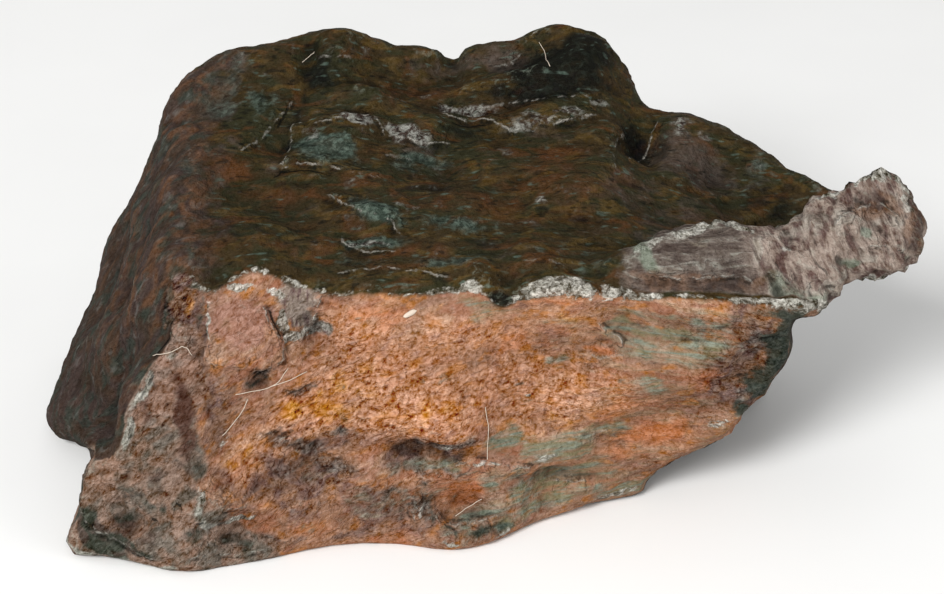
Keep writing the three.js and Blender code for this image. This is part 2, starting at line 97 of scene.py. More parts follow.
# Foot slab: height and x along its free left edge, then its measures.
SLAB_EDGE = [
    [-3, -58.5], [3, -55.8], [7.7, -53.8], [10, -52.8], [12.6, -51.2], [14, -48.4], [15.5, -46.9],
    [19.8, -45.9], [23, -44.3], [26, -42], [28.5, -40],
]
SLAB_TOP = 29.5
SLAB_THIN = 5
SLAB_THICK = 15
SLAB_PROUD = 0.7
SLAB_RIGHT = -28.3
SLAB_FADE = [-35, -39]
SLAB_LEAN = 0.27
SLAB_SEAM = 0.8
SLAB_THICKENS = [-57, -45]

# How much each leaning face shortens the distance to it.
LEAN_TOP = 0.94
LEAN_FRONT = 0.95
LEAN_SIDE = 0.9
LEAN_SLAB_BACK = 0.8

# Hidden back and right end, the corner that lifts off the ground, and how the front curls there.
BACK_BELLY = 8.5
BACK_BELLY_SHARES = [1, 0.35]
BACK_TUCK = 4
BACK_TUCK_SHARES = [0.3, 0]
RIGHT_FOOT = 43
RIGHT_FLARE = 10
RIGHT_FLARE_HEIGHTS = [12, 33]
RIGHT_TAPER = 0.12
LIFT = 2.4
LIFT_X = [10, 42]
LIFT_Y = [10, -14]
CURL_X = [-5, 18]

# Flange and horn: x, y, height and radius along them.
HORN_SEAM = 2.6
HORN = [
    [17, -17.4, 34.6, 2.6], [24, -16.6, 35.6, 4], [31, -16.2, 35.2, 4.2], [40, -14.8, 34.4, 5.2],
    [46.5, -12, 37.2, 6.2], [52, -10.4, 39.2, 6.4],
]
HORN_DEPTH_SHARE = 0.82

# Swellings of the top (across x and y) and front (x and z): centre, radii, turn in degrees, height.
TOP_RELIEF = [
    [-31, 15.5, 7, 7, 20, 1.5],  # smooth lobe under the left crest
    [-41, 10, 4, 12, 0, 0.7],
    [-20.3, 20.5, 3.4, 3.2, 0, 1.6],  # round lump
    [-24.8, 20.5, 1.7, 4, -10, -1.6],  # cleft beside it
    [-9, 20.5, 9, 2.6, 0, -1.1],  # trough under the notch
    [6.5, 21.3, 5.5, 2.8, -8, -2.8],  # hollow before the big lobe
    [13.5, 21, 4.5, 3, 20, 1.4],
    [3, 17.6, 8, 1.7, 4, 1.8],  # long flake
    [3.5, 14.2, 7, 1.5, 2, -1.1], [14.8, 16.8, 3, 2, 0, 1.4],
    [-16.5, 14.6, 5, 1.8, -8, 1.7],  # short flake
    [-15, 11.6, 7, 1.4, -6, -0.9], [-7.5, 11, 6, 2.6, -12, 1.1], [-22, 10, 6, 3, -30, 1.1],
    [-27, 6, 4.5, 1.4, 12, -0.9], [-15.5, -3, 6, 2.2, -38, 0.9], [-15.5, -8, 4.6, 2, -8, 0.9],
    [-34, 2, 5, 8, 0, 0.6], [-3, 1, 8, 4, -20, -1], [8, -6, 9, 4, 10, 0.9], [10, 6, 7, 4, -15, -0.9],
    [21.6, 9.5, 3, 5.2, -12, -2.6],  # pocket
    [26, 14.5, 3, 3, 0, 1.3], [31.5, 8.5, 3.4, 4.6, -30, -1.5],
    [38, -3, 8, 5.4, -16, -3.4],  # hollow behind the flange
    [24, -6, 5, 5, 0, -0.8],
    [-4.6, 27, 2, 6, 0, -2.6],  # notch in the crest
    [-35.3, -19, 2.4, 2.6, 0, -1.5],  # chips out of the rim
    [2.6, -21, 2.6, 3.2, 0, -1.7], [-11, -20.5, 3, 2, 0, -0.5],
    [-38.5, -16.5, 3, 3, 0, 0.9],  # and lumps of crust along it
    [-29, -18.6, 3, 2.6, 0, 0.8], [-1, -20, 2.2, 2.6, 0, 1.2], [10, -20, 5, 2.6, 0, 0.7],
]
FRONT_RELIEF = [
    [-31.5, 29, 4.6, 5, 0, 1.5],  # raised plate
    [-23, 29, 2.6, 4.2, 24, -1.6],  # wedge-shaped scoop beside it
    [-29.6, 23.4, 1.7, 1.2, 0, -1.4],  # pit
    [-37.5, 28, 1.8, 6, 0, -0.9], [-39, 29, 1.4, 3.2, 0, 1], [-14, 28, 7, 5, 0, 0.6],
    [-12, 19, 9, 4, -10, 0.9],
    [-6, 13.6, 7, 2, -6, -1.7],  # dark groove
    [-21, 13, 6, 3, 20, -1], [-15.8, 11.5, 3.2, 4, 12, 1.3],
    [-3.4, 5.6, 4.6, 3.8, -10, -2.8],  # bowl
    [-3, 1.6, 6, 1.4, 0, 1.1],
    [7, 11.5, 7.4, 2.4, -6, 1.5],  # shelf
    [8, 8, 6, 1.4, -8, -1],
    [-34, 8.3, 4.6, 1.3, -10, 1.3],  # lip at the foot of the slab
    [-31, 4.6, 5, 2.2, 0, -1.2], [-24, 6, 4, 3, 0, 0.8], [12, 28, 8, 3, -4, -0.7],
    [24, 30, 9, 1.8, -4, -0.8], [14, 21, 8, 3, 16, 0.9], [22, 15, 6, 5, 30, -1], [34, 24, 4, 6, 0, -1.4],
    [30, 12, 6, 4, 30, 0.9], [-46.5, 16, 3.6, 3, -30, 0.9], [-48, 7, 5, 3.4, 0, -0.9],
]

# Hollows like thumb-prints: centre, radius, depth.
THUMBPRINTS = [
    [-34, 29, 34, 8, 2.2], [-19, 35, 30, 13, 4], [2, 33, 38, 8, 2.4], [9, 36, 25, 11, 3.4],
    [21, 29, 33, 7, 2], [-35, 34, 17, 9, 2.6], [-14, 38, 9, 10, 2.8], [-1, 36, 14, 6, 1.6],
    [23, 33, 13, 11, 3.2], [30, 22, 32, 6, 1.8], [38, 22, 20, 12, 3], [47, 8, 28, 9, 2.4],
    [44, 8, 8, 11, 3], [46, -9, 19, 6, 1.6], [-47, 27, 30, 10, 2.8], [-51, 27, 12, 12, 3.2],
    [-61, 9, 9, 6, 0.9], [-54, 6, 24, 11, 1.7], [-49, -8, 27, 5, 0.9], [-54, -7, 14, 6, 1],
    [-60, 18, 18, 6, 1.6], [8, 37, 4, 9, 2],
]
# Long soft swells: waves along x, y and z, phase, height.
SWELLS = [
    [0.19, 0.13, -0.15, 0.4, 0.34], [-0.13, 0.29, 0.24, 1.9, 0.3], [0.33, -0.24, 0.21, 3.1, 0.22],
    [0.21, 0.44, -0.35, 5.2, 0.2], [-0.49, 0.17, 0.4, 0.9, 0.15], [0.37, 0.53, 0.31, 2.6, 0.13],
]

# Outline of the stone from the front and above, and the sight lines that it is seen along.
SIGHT_TARGET = [-1.9, 0, 22]
SIGHT_RANGE = 360
SIGHT_TILT = math.radians(30)
OUTLINE = [
    # left face
    [-57.8, -15.2], [-57.9, -16.8], [-57.4, -18.2], [-56.2, -19.2], [-54.2, -19.7], [-52.6, -20.5],
    # foot slab
    [-51.4, -21.1], [-51.6, -22.1], [-52.6, -23.2], [-53.2, -25.1], [-53.3, -27.3], [-53.7, -29.2],
    [-54.5, -31.1], [-55.3, -33], [-55.6, -34.2], [-54.8, -35.1], [-53.2, -35.3], [-51, -35.3],
    [-47.5, -35.8], [-44.8, -36.4], [-41.4, -37.3], [-37.3, -37.4], [-34.2, -36.8], [-31.1, -36.3],  # foot
    [-27, -35.5], [-22.9, -34.5], [-18.8, -33.8], [-14.7, -33.6], [-10.5, -33.7], [-6.4, -34.2],
    [-3, -34.4], [-0.3, -34.1], [1.8, -33.4], [3.8, -32.7], [5.9, -31.9], [7.9, -31], [10, -30.1],
    [12.3, -29.3], [15.5, -28.2], [18.2, -27.8], [21.9, -27.3], [23.4, -26.4],
    # lifting corner
    [23.8, -25.1], [25.2, -23.7], [28.5, -21.6], [31.9, -20.3], [34.7, -18.8], [36.4, -16.8],
    [36.8, -15.6], [38.4, -14.1], [40, -12.6], [41.6, -10.5], [42.9, -8.6], [43.6, -6.6],
    [43.4, -4.5], [43.7, -3], [44.9, -2.5], [47, -2.3], [48.1, -1.2], [49, 0.1],  # horn
    [50.5, 1.8], [52.9, 2.9], [55.2, 3.6], [57.3, 3.4], [59, 4.2], [60.3, 5.8], [61.2, 7.5], [61.9, 9.7],
    [61.1, 11.2], [59.7, 12.6], [59.3, 14.7], [57.5, 16], [55.5, 16.4], [53.2, 15.5], [51.5, 14.5],
    [49.7, 14.5], [47.9, 15.2], [46, 16.2],
    [42.9, 17.8], [40.1, 20], [37.4, 21.5], [34.7, 22.9], [31.6, 24.1], [29.2, 25.1],  # right shoulder
    [26.4, 25.5], [24.4, 25.9], [23, 27.1], [21.9, 29.5], [20.3, 32.7], [18.2, 35.1],  # big lobe
    [16.2, 36.4], [14.1, 37], [12.1, 37.3], [10, 37.1], [8.2, 36.3], [5.9, 35.1],
    [3.8, 34.8], [1.1, 34.8], [-1, 34.1], [-2.3, 32.9], [-3.4, 33.2], [-4.7, 33.8],  # notch
    [-7.1, 34.2], [-9.9, 34.4], [-11.9, 34.8], [-14.2, 36], [-16.7, 36.6], [-19.5, 36.7],  # left lobes
    [-21.9, 36.3], [-24.2, 35.8], [-27, 34.9], [-30.4, 34], [-33.4, 33.7], [-35.9, 32.7],
    # left face, upwards
    [-37.9, 31.1], [-40, 29.7], [-41.6, 27.9], [-42.6, 24.9], [-43.2, 21.5], [-44.4, 19],
    [-45.5, 16], [-47.4, 12.5], [-49.7, 7.8], [-50.7, 3.7], [-51.8, -0.4], [-53.7, -4.5], [-55.3, -8.6],
    [-56.7, -12.1],
]

# How round the edges are where faces meet, and how far the body swells and beds into the ground.
ROUND_RIM = 1.3
ROUND_SIDE = 2.6
ROUND_TRIM = 1.2
TRIM_EASE = 0.15
SWELL = 1
BED = 1.4
DATUM = [2.5, -1.1, 0]  # from the field's own zero to the frame's
DATUM_SHIFT = np.array(DATUM)

# Where each patch of finish lies: centre and radii across its face in millimetres, turn in degrees, strength.
# The top and the horn's crust are measured across x and y, all else across x and z.
GRAINY = [  # granular orange rust
    [-12, 21, 14, 8, -8, 1], [6, 21, 11, 7, 0, 0.9], [-24, 18.5, 5, 4.2, 10, 1], [-3, 29, 9, 3, 0, 0.7],
    [-30, 13, 5, 3, 10, 0.8], [16, 20, 5, 4, -10, 0.6], [-16, 27, 8, 5, 0, 0.8], [-31, 16, 3, 5, 0, 0.6],
    [-20, 9, 6, 3, 0, 0.5], [9, 16.5, 8, 2, 10, 0.6],
]
OCHRE = [  # yellow ochre
    [-25.2, 19.3, 2.6, 1.3, 10, 1], [-20.9, 19.9, 4.2, 1.7, 12, 0.7], [-15.3, 21, 5.2, 2.6, 0, 0.35],
    [-17.7, 22.8, 4.7, 2.2, 20, 0.3], [-32, 14, 2.4, 1.6, 0, 0.45], [9.6, 16, 6.8, 1.9, -4, 0.3],
    [12.6, 31.8, 5.4, 1.1, 4, 0.45], [-38.1, 32.6, 0.6, 2.1, -12, 0.55], [-7.3, 20.2, 3.9, 1.6, 0, 0.3],
    [2.4, 5.9, 3.4, 0.9, 20, 0.3],
]
GLOW = [  # bright orange rust
    [22.9, 13.4, 5.8, 2.1, 8, 0.9], [14.4, 26.4, 3.8, 0.7, -14, 0.8], [-3.4, 7, 3.4, 2.6, 0, 0.95],
    [9.8, 5.2, 5.9, 1, 4, 0.7], [27.9, 23, 2.4, 2.8, 0, 0.5], [17.7, 10.5, 3.2, 1.3, 0, 0.6],
    [-32.1, 5, 5.1, 1.9, 0, 0.5], [-12.4, 1.1, 3.2, 1.3, 0, 0.6], [4.3, 27.9, 5.2, 1.4, 0, 0.5],
    [-24.1, 21, 3.1, 0.9, 10, 0.5], [-13, 31.8, 7.7, 1.6, 0, 0.4], [9.3, 34, 6.4, 0.6, 0, 0.6],
    [26.1, 27.2, 4.3, 1.1, 0, 0.35], [-22.3, 4.3, 3.8, 1.3, 0, 0.35], [17.4, 17.7, 5.3, 2, 10, 0.5],
]
DULL = [  # dull grey-brown rust
    [-24.3, 10.4, 8.1, 4.2, 0, 0.85], [-12, 6.4, 8.3, 5.3, 0, 0.7], [33.2, 26.5, 2.7, 9.5, 0, 0.95],
    [28.8, 30.4, 4.3, 3.4, 0, 0.5], [-8, 13.3, 7.3, 2.7, 0, 0.8], [-33.5, 22.2, 2.3, 5.1, 10, 0.45],
    [-36.1, 22.2, 1, 7.4, 0, 0.7], [-36.2, 29.7, 1.1, 3.3, 0, 0.7], [-20.4, 15, 7.8, 2.4, 0, 0.6],
    [28, 17.4, 3.2, 3.7, 0, 0.4], [-30.8, 2.4, 7.7, 1.3, 0, 0.7], [-0.8, 2.1, 6.9, 1.2, 0, 0.7],
    [4.5, 3, 6.7, 1.1, 0, 0.5], [-20.2, 26.9, 3.4, 3.1, 0, 0.35], [35, 30.2, 2.1, 5.3, 0, 1],
    [-17.2, 33.6, 3.1, 1, 0, 0.4], [-39.8, 31, 2.8, 8, -6, 1.4], [31, 23.4, 4.6, 6, 0, 1],
    [-34.8, 20, 2, 6, 0, 0.7], [-34.4, 10.6, 2, 3, 0, 0.6], [-29.6, 6.4, 5, 1.6, 0, 0.5],
    [-14, 2.2, 10, 1.6, 0, 0.6], [-24, 7.4, 7, 2.4, 0, 0.6], [2, 6, 8, 3, 0, 0.5],
    [37.4, 26, 2.2, 7, 0, 1.1], [35.4, 18.6, 2.4, 4, 30, 1], [-28, 28, 9, 9, 0, 0.3],
    [22.6, 6.4, 6, 3, 20, 0.35],
]
GREEN = [  # smooth grey-green film
    [17.4, 29.9, 2.3, 1.8, 0, 0.8], [23.2, 29.3, 6.6, 1.4, 2, 0.75], [29.3, 31, 4.1, 1.9, 0, 0.5],
    [9, 24.8, 1.7, 1.4, 30, 0.55], [21.1, 22.2, 2.9, 2.1, -20, 0.7], [2.5, 14.3, 2.8, 1.9, 0, 0.95],
    [10.4, 11.9, 4.8, 2.1, 6, 0.8], [0.7, 8.1, 2, 1.1, 0, 0.8], [16.9, 3.2, 4.4, 1.2, 4, 0.7],
    [-2.2, 2.3, 5.8, 0.6, 0, 0.5], [-16.3, 7.5, 1.8, 2.3, 0, 0.35], [-23.5, 11.2, 1.8, 2.2, 0, 0.45],
    [-2.2, 33.7, 2.8, 1.2, 0, 0.7], [-6.1, 11.8, 6.5, 1, -4, 0.6], [7.1, 3.1, 5.4, 0.8, 4, 0.55],
    [9.5, 27.7, 5.2, 0.8, -4, 0.4], [13.8, 7.2, 5.4, 1, 3, 0.6], [27.4, 25.3, 3.9, 1.3, 8, 0.45],
    [2.4, 21.1, 1.6, 0.8, 0, 0.35], [9.4, 30.8, 4.4, 0.7, -2, 0.5], [19.6, 32.1, 7.5, 0.7, 0, 0.45],
    [-11.3, 11.4, 5.2, 0.9, 0, 0.4], [-17.9, 5.3, 5.2, 1.2, 0, 0.35], [18.8, 3, 4.8, 1.5, 4, 0.9],
    [24, 27.4, 7, 2.4, 4, 0.6], [9.4, 13, 6, 1.6, 6, 0.9], [14, 14.2, 5, 1.6, 4, 0.6],
    [-1, 4.2, 4.4, 1.6, 4, 0.65], [-9, 7, 6, 4, 0, 0.45], [9, 7, 8, 2.4, 8, 0.9],
    [25, 27.6, 9, 3.2, 4, 0.65], [8, 3.6, 9, 1.6, 8, 0.8], [3, 9.6, 5, 1.6, 0, 0.5],
    [2, 32.6, 9, 1.6, 0, 0.35],
]
CHAR_AND_SHADE = [  # black-grey crumbly mineral, partly painted shade under the front's overhang and in pits
    [-24.3, 14.4, 3.9, 1.4, -6, 0.75], [-20.4, 12.3, 4.5, 1.4, -4, 0.65], [-25.6, 11.3, 2.6, 1.6, 0, 0.5],
    [-4.8, 14.9, 5.2, 1.7, -2, 0.6], [-10.6, 15.2, 2.9, 1.8, 0, 0.35], [-28.9, 25, 1.1, 1.3, 24, 0.95],
    [-24.1, 22.3, 2.8, 0.6, 14, 0.8], [-20.3, 16.7, 3.4, 0.7, 0, 0.7], [-28.3, 16, 2.6, 0.6, 10, 0.6],
    [-13.4, 8.7, 3.9, 1.3, 0, 0.45], [-22.7, 7.5, 4.6, 0.9, 0, 0.45], [-30.7, 9.4, 3.1, 0.8, 0, 0.3],
    [-8.7, 9.9, 2.6, 2.2, 0, 0.5], [2.8, 22.1, 1.8, 0.7, 0, 0.35], [-11.8, 22.7, 1.8, 0.6, 0, 0.3],
    [-13.1, 28.2, 1, 0.5, 20, 0.5], [33.5, 18.7, 1.2, 2.2, 0, 0.6], [34.6, 28.4, 0.8, 4.6, 0, 0.6],
    [26, 28.8, 1.3, 0.6, 0, 0.4], [-33.7, 8.7, 2, 0.5, 10, 0.4], [-16.6, 2.6, 5.2, 0.7, 0, 0.35],
    [-27, 3.1, 5.2, 0.8, 0, 0.35], [-32.5, 19.6, 0.8, 2.3, -30, 0.3], [-9.2, 6, 2.2, 3.6, 0, 0.7],
    [-6.6, 10.8, 3.4, 0.9, 0, 0.55], [-2.2, 20.9, 1.5, 0.5, 0, 0.3], [9.5, 18.9, 1.3, 0.4, 0, 0.25],
]
PALE = [  # grey-white crust
    [-23.8, 28.5, 2.1, 1, 20, 0.8], [-26.2, 30.6, 0.7, 2.2, 20, 1.1], [-25.2, 28.6, 0.7, 1.2, 30, 1.1],
    [-37.4, 9.2, 0.5, 1.6, -20, 1.3], [-33, 6, 2.6, 0.4, 2, 1.3], [-35.4, 30.6, 0.4, 3, 12, 0.8],
    [-32, 35, 3.4, 0.5, 4, 0.7], [-26.6, 34.4, 1.6, 0.9, -30, 0.8], [-21.4, 30.2, 0.6, 1.6, -30, 0.7],
    [-24.1, 21.2, 3.1, 0.5, 16, 0.45], [-33.7, 16.1, 0.9, 2.7, -38, 0.5], [-33.7, 17.4, 1.5, 0.6, 26, 0.4],
    [16.9, 2.4, 3.9, 1, 4, 0.7], [31, 14.7, 1.6, 1.3, 0, 0.6], [-15.7, 13.4, 1, 1.5, 10, 0.3],
    [-9.6, 5, 1, 2.6, 0, 0.6], [-3, 6.2, 3.4, 1.2, 10, 0.45], [-5, 1.4, 3, 0.5, -5, 0.7],
    [2.4, 1.8, 2.6, 0.5, 12, 0.6], [-4.6, 14.2, 1.6, 0.6, 0, 0.6], [-8, 13.6, 1.2, 0.8, 0, 0.5],
    [3.6, 14.8, 2.4, 0.4, 0, 0.6], [8, 11.9, 3, 0.4, 0, 0.6], [-0.9, 11.4, 4.4, 0.4, -4, 0.7],
    [-7.4, 3.9, 3.4, 0.6, 0, 0.4], [-24.3, 12.4, 1.3, 1, 0, 0.35], [5.6, 19.8, 1.6, 0.5, -20, 0.6],
    [7.7, 10.7, 2.9, 0.6, 0, 0.5], [-19.1, 11.6, 2.1, 0.9, 0, 0.3], [-30.8, 33.7, 3.9, 0.4, 0, 0.4],
    [9.6, 11.6, 4, 0.5, 0, 0.3], [-34.9, 33.4, 0.7, 1.2, 0, 0.4], [-6.1, 13.8, 1.6, 0.7, 0, 0.35],
    [15, 12.5, 1.9, 0.5, 0, 0.3],
]
WEDGE = [  # grey streaked wedge beside the plate
    [-23.9, 33.8, 3.4, 2.6, 0, 1], [-23.3, 30.5, 2.4, 2.6, 24, 1],
]
PLATE_PINK = [  # pink plate and blushes like it
    [-31.5, 31.4, 4.4, 2.8, 0, 1], [-36.1, 33.2, 0.9, 2.9, 0, 0.4], [-30, 27, 7, 1.2, 4, 0.4],
    [-15.7, 13.4, 1.7, 2.2, 0, 0.55], [-20.2, 25.7, 2.9, 1.3, 0, 0.3], [-38.4, 26, 1.2, 2.2, 0, 0.45],
    [-31.7, 23, 2.7, 2, 0, 0.3], [-8.6, 25.7, 2.6, 1.5, 0, 0.3], [3, 23.7, 3.9, 1.6, 0, 0.25],
    [-18.3, 28.7, 2.1, 2.6, 0, 0.3], [-20.4, 8.8, 2.6, 1.2, 0, 0.25],
]
DARK_TEAL_AND_SHADE = [  # painted shade in the front's clefts and pits, and over its far end, which is partly its own dark teal-brown
    [38.4, 27.4, 2.9, 6.5, -8, 1.4], [36.2, 20, 1.9, 4.4, 30, 1.2], [33.6, 16.4, 1.6, 2.2, 40, 0.8],
    [-41.6, 32, 0.9, 4.6, -14, 0.8], [-41.3, 28.4, 0.9, 2.6, -20, 1], [-37.5, 25, 0.6, 4, 0, 0.45],
    [-29.5, 23.9, 1.8, 0.5, 20, 0.8], [-7.2, 4.4, 0.6, 2.2, 10, 0.6], [-37, 34.6, 2.6, 0.8, 0, 0.6],
    [36.6, 33, 3, 0.8, 0, 0.6], [-36.6, 31.6, 0.5, 3, -6, 0.5], [-7.3, 5.8, 0.6, 2.4, 6, 0.5],
    [-4.4, 2.5, 2.2, 0.4, -30, 0.6], [0, 2.2, 3.4, 0.5, 6, 0.8],
]
TEAL = [  # blue-green film on the top
    [-21.6, 4.4, 4.4, 2.6, -20, 1.2], [-14, -8.4, 4, 1.5, -32, 1.2], [-14.8, -13, 4.2, 1, -4, 1.2],
    [-4.1, -10.5, 4.4, 1.6, -10, 0.8], [-8.6, 4.4, 4, 0.9, 0, 0.9], [17.7, -18.6, 4, 0.6, 0, 0.4],
    [-30.7, 13.2, 3.6, 3.6, 0, 0.45], [-22.3, 3.5, 1.1, 2.4, 0, 0.5], [2.4, -9.8, 5.2, 1.2, -6, 0.4],
    [-4.1, -17.2, 4.4, 1, 0, 0.6], [-17, -16.3, 3.9, 1, 0, 0.4], [-37.1, -13.3, 1.8, 3.4, 0, 0.3],
    [-37, 15, 4, 5, 0, 0.5], [-10.9, 3, 4, 1.5, -4, 0.6], [6.9, -12.9, 5.2, 1.6, 0, 0.35],
    [37.5, 8.9, 2.4, 4, -30, 0.35], [14.5, -18.4, 3.8, 0.7, 0, 0.4], [9.4, -15.8, 3.9, 1, 0, 0.35],
]
LILAC = [  # lilac-grey flakes of the top
    [-17.5, 9.8, 2.4, 1.4, -14, 1], [-10.3, 7.8, 4.1, 1.4, -8, 0.9], [-2.2, 14, 4.7, 1, 0, 0.7],
    [-5.8, 14.1, 1.6, 0.9, 0, 0.9], [4.6, 10.5, 6, 1.5, 0, 0.5], [15.7, 14, 1.4, 0.8, 0, 0.8],
    [11.8, 12.2, 2.7, 0.9, 0, 0.6], [-14.9, -13.2, 3.4, 0.5, -8, 0.8], [-23.6, 7.4, 1.4, 1.4, -40, 0.5],
    [-41.6, 14, 1, 4, -10, 0.45], [30.2, 12.2, 3.4, 1.8, -20, 0.25], [-38.1, 21.4, 2.5, 0.6, -20, 0.4],
    [-37.4, -18, 1.5, 0.5, 0, 0.5], [7.1, -5.2, 1, 0.5, 0, 0.7], [26.8, 14, 0.7, 1.4, 0, 0.6],
    [-21.6, 20.4, 2.8, 0.4, 0, 0.2], [-11.3, -7.1, 1.8, 1.1, -30, 0.5],
]
RUST = [  # red-brown glow of the top
    [-34.8, 1.1, 4, 2, 0, 0.9], [-31.2, 5.9, 1.8, 1.7, 0, 0.4], [8.6, 3.4, 5.9, 4.6, 0, 0.5],
    [-7.7, 17.9, 6.9, 3, 0, 0.4], [-40.7, 15.5, 1.7, 2.7, 0, 0.5], [-12.9, 3.4, 4.8, 1.6, 0, 0.4],
    [-27.4, -3.3, 5.4, 1.9, 0, 0.4], [-0.8, -6.2, 7.9, 3.1, 0, 0.5], [17.9, 0.7, 2.8, 2.2, 0, 0.4],
    [-18.1, -0.8, 5.3, 1.7, 0, 0.4], [-20.5, -9.6, 6.6, 1.7, 0, 0.35], [30.9, -5.9, 5.7, 4.3, 0, 0.4],
    [9.6, -7.9, 6.6, 1.5, 0, 0.4], [4.2, -18.4, 3.8, 0.8, 0, 0.4], [-40.5, -3.9, 1.1, 7, 0, 0.6],
    [-28, -14.8, 5.1, 1.4, 0, 0.4], [-8.6, -15, 5.2, 1, 0, 0.4], [22.5, -1.7, 4.1, 1.4, 0, 0.3],
    [-38, 9, 1.6, 3, 0, 0.6], [-36, -14, 4, 2, 0, 0.6], [8, -2, 9, 3, 0, 0.5], [-38.6, -1, 2, 4, 0, 0.5],
]
HOLLOW_SHADE = [  # painted shade in the hollows of the top
    [-22.9, 18, 2.8, 2.8, 0, 0.9], [9.4, 17.8, 6.4, 4.2, 0, 1.7], [13.6, 20.6, 4, 3, 0, 1.2],
    [4.7, 16.6, 4.9, 0.8, 0, 0.8], [15.7, 16.4, 2.8, 1.4, 0, 0.6], [20.6, 11.1, 2.1, 4.4, 0, 0.8],
    [-25.1, 13.5, 1, 5.1, -14, 0.6], [-26.2, 1.1, 2.7, 0.8, 30, 0.6], [2, 15.8, 8.3, 0.4, 0, 0.6],
    [-24.7, -2.3, 4.5, 0.7, 0, 0.5], [-2.4, 9.5, 6.3, 0.8, 0, 0.7], [38.4, 2.2, 4.6, 2.4, -20, 0.7],
    [1.7, -22, 2.3, 0.4, 0, 0.9], [-18.6, -6.6, 4, 1.2, 0, 0.4], [-32, -11.7, 5.3, 3.2, 0, 0.4],
    [-6.1, -3.2, 5.3, 1.6, 0, 0.4], [23.9, 11.1, 1.5, 3.4, 0, 0.5], [-12.6, 18.9, 1.4, 1.1, 0, 0.3],
    [13.6, -8.8, 6.6, 0.9, 0, 0.35], [-24, -16.8, 3.8, 0.7, 0, 0.3], [29.1, 5.9, 7.2, 2.2, 0, 0.3],
    [-2.2, -13.7, 6.5, 1.2, 0, 0.3],
]
HAZE = [  # mauve haze over the top
    [-35.7, 19.7, 4.2, 1.5, -10, 0.6], [-39.1, 11.4, 2.2, 8.1, 0, 0.4], [-28.9, 0.9, 2.7, 2.9, 0, 0.4],
    [-18.6, 13.8, 5.5, 1.4, 0, 0.3], [-7.8, 22.1, 4.2, 1.6, 0, 0.35], [7.4, 15, 8.2, 0.6, 0, 0.3],
    [29.4, 10.6, 5.7, 3.2, -20, 0.4], [34.7, 6.8, 5.4, 3.7, -30, 0.3], [10.1, 8.5, 6.8, 1.3, 0, 0.35],
    [-24.5, -7.2, 5.3, 1.6, 0, 0.2], [20, -10.8, 4, 1.6, 0, 0.4], [-38.4, 13, 4.4, 8, -8, 0.7],
    [-35, 4, 2, 3, 0, 0.4], [28, 8, 7, 5, -16, 0.8], [24, -4, 12, 7, -20, 0.4], [3, 22, 4, 2.4, 0, 0.7],
    [-3, 23, 4, 2, 0, 0.6], [-8.6, 5.6, 5, 2, -8, 0.5],
]
SLAB_BAND = [  # dark red-brown band up the foot slab
    [-39.2, 20.6, 1.1, 4.4, 4, 1], [-38.6, 16, 1.2, 2.4, -14, 0.6], [-40.4, 12, 2, 4, -20, 0.4],
    [-47, 5, 5, 1.6, 0, 0.5], [-44, 20, 1, 3, 0, 0.4], [-33, 4, 2.2, 2, -40, 0.5],
    [-45, 12, 6, 0.8, 12, 0.4],
]
SLAB_SHADE = [  # painted shade under its foot and in its pits
    [-50.6, 3.4, 4.8, 1.1, -34, 1.6], [-51.4, 4.8, 3.6, 1.5, -28, 1.6], [-47.6, 3, 4, 0.9, -10, 1.1],
    [-55, 6, 1.4, 2, 0, 0.9], [-41.4, 8.4, 3.4, 0.9, -10, 0.6], [-38, 6, 2, 1, 0, 0.6],
    [-32, 3, 2.4, 1.2, -30, 0.6], [-45.4, 6, 4, 0.7, 6, 0.5], [-46, 22.4, 1, 2, -20, 0.4],
    [-43, 14, 2.4, 0.8, 10, 0.35], [-47, 9.6, 3, 0.7, 0, 0.35], [-36.8, 13, 0.8, 2, 0, 0.3],
]
SLAB_PALE = [  # whitish glints along its free edge and its foot
    [-46.1, 17.8, 0.45, 2.2, -12, 1.1], [-44, 22.8, 0.45, 2.4, -24, 1.1], [-50.6, 12.8, 1.2, 0.4, 30, 0.5],
    [-53.6, 1.4, 1.8, 0.8, 0, 1.2], [-44, 0.8, 5, 0.6, 0, 0.9], [-37.4, 9.2, 0.5, 1.6, -20, 1.3],
    [-36, 6.8, 1.4, 0.5, -30, 1.3], [-33, 6, 2.6, 0.4, 2, 1.3], [-41, 27, 1.2, 0.8, 0, 0.6],
]
HORN_GREEN = [  # pale green wedges on the horn
    [37.6, 35.2, 3, 1.6, -30, 0.9], [46.6, 37.2, 1.5, 1, -30, 1], [49, 41, 0.8, 0.8, 0, 1],
    [41, 33, 2.2, 1, 20, 0.8], [20.4, 38.6, 1.6, 1.6, 0, 1.2], [53.8, 37.6, 1.6, 1.6, 0, 0.5],
]
HORN_DARK = [  # its shaded end and underside
    [55.4, 39.6, 1.4, 3.4, 0, 0.9], [52.6, 34.8, 4, 1.2, -10, 0.7], [46.6, 33.4, 3, 0.8, -20, 0.6],
    [27, 35.8, 9, 1.2, 0, 1.3], [50, 43.6, 5, 1, -10, 1], [20, 36.4, 3, 1, 0, 0.5],
    [36.4, 37.4, 1.2, 1.4, -30, 0.5],
]
HORN_CRUST = [  # grey-white crumbs along the crest of flange and horn
    [20.9, -17.2, 2, 0.9, 20, 1], [25.6, -15.4, 2.6, 0.9, 10, 1], [29.6, -14.6, 2.6, 0.9, 6, 1.2],
    [32.4, -15.6, 1.4, 0.8, -30, 1], [45.6, -11.6, 3, 1, 0, 0.9], [18, -16, 2, 1.2, 20, 0.7],
    [50, -10.8, 5, 1.3, 0, 1.3], [54.6, -13, 0.9, 2, 0, 0.6], [38, -17, 1.2, 1, 0, 0.4],
]

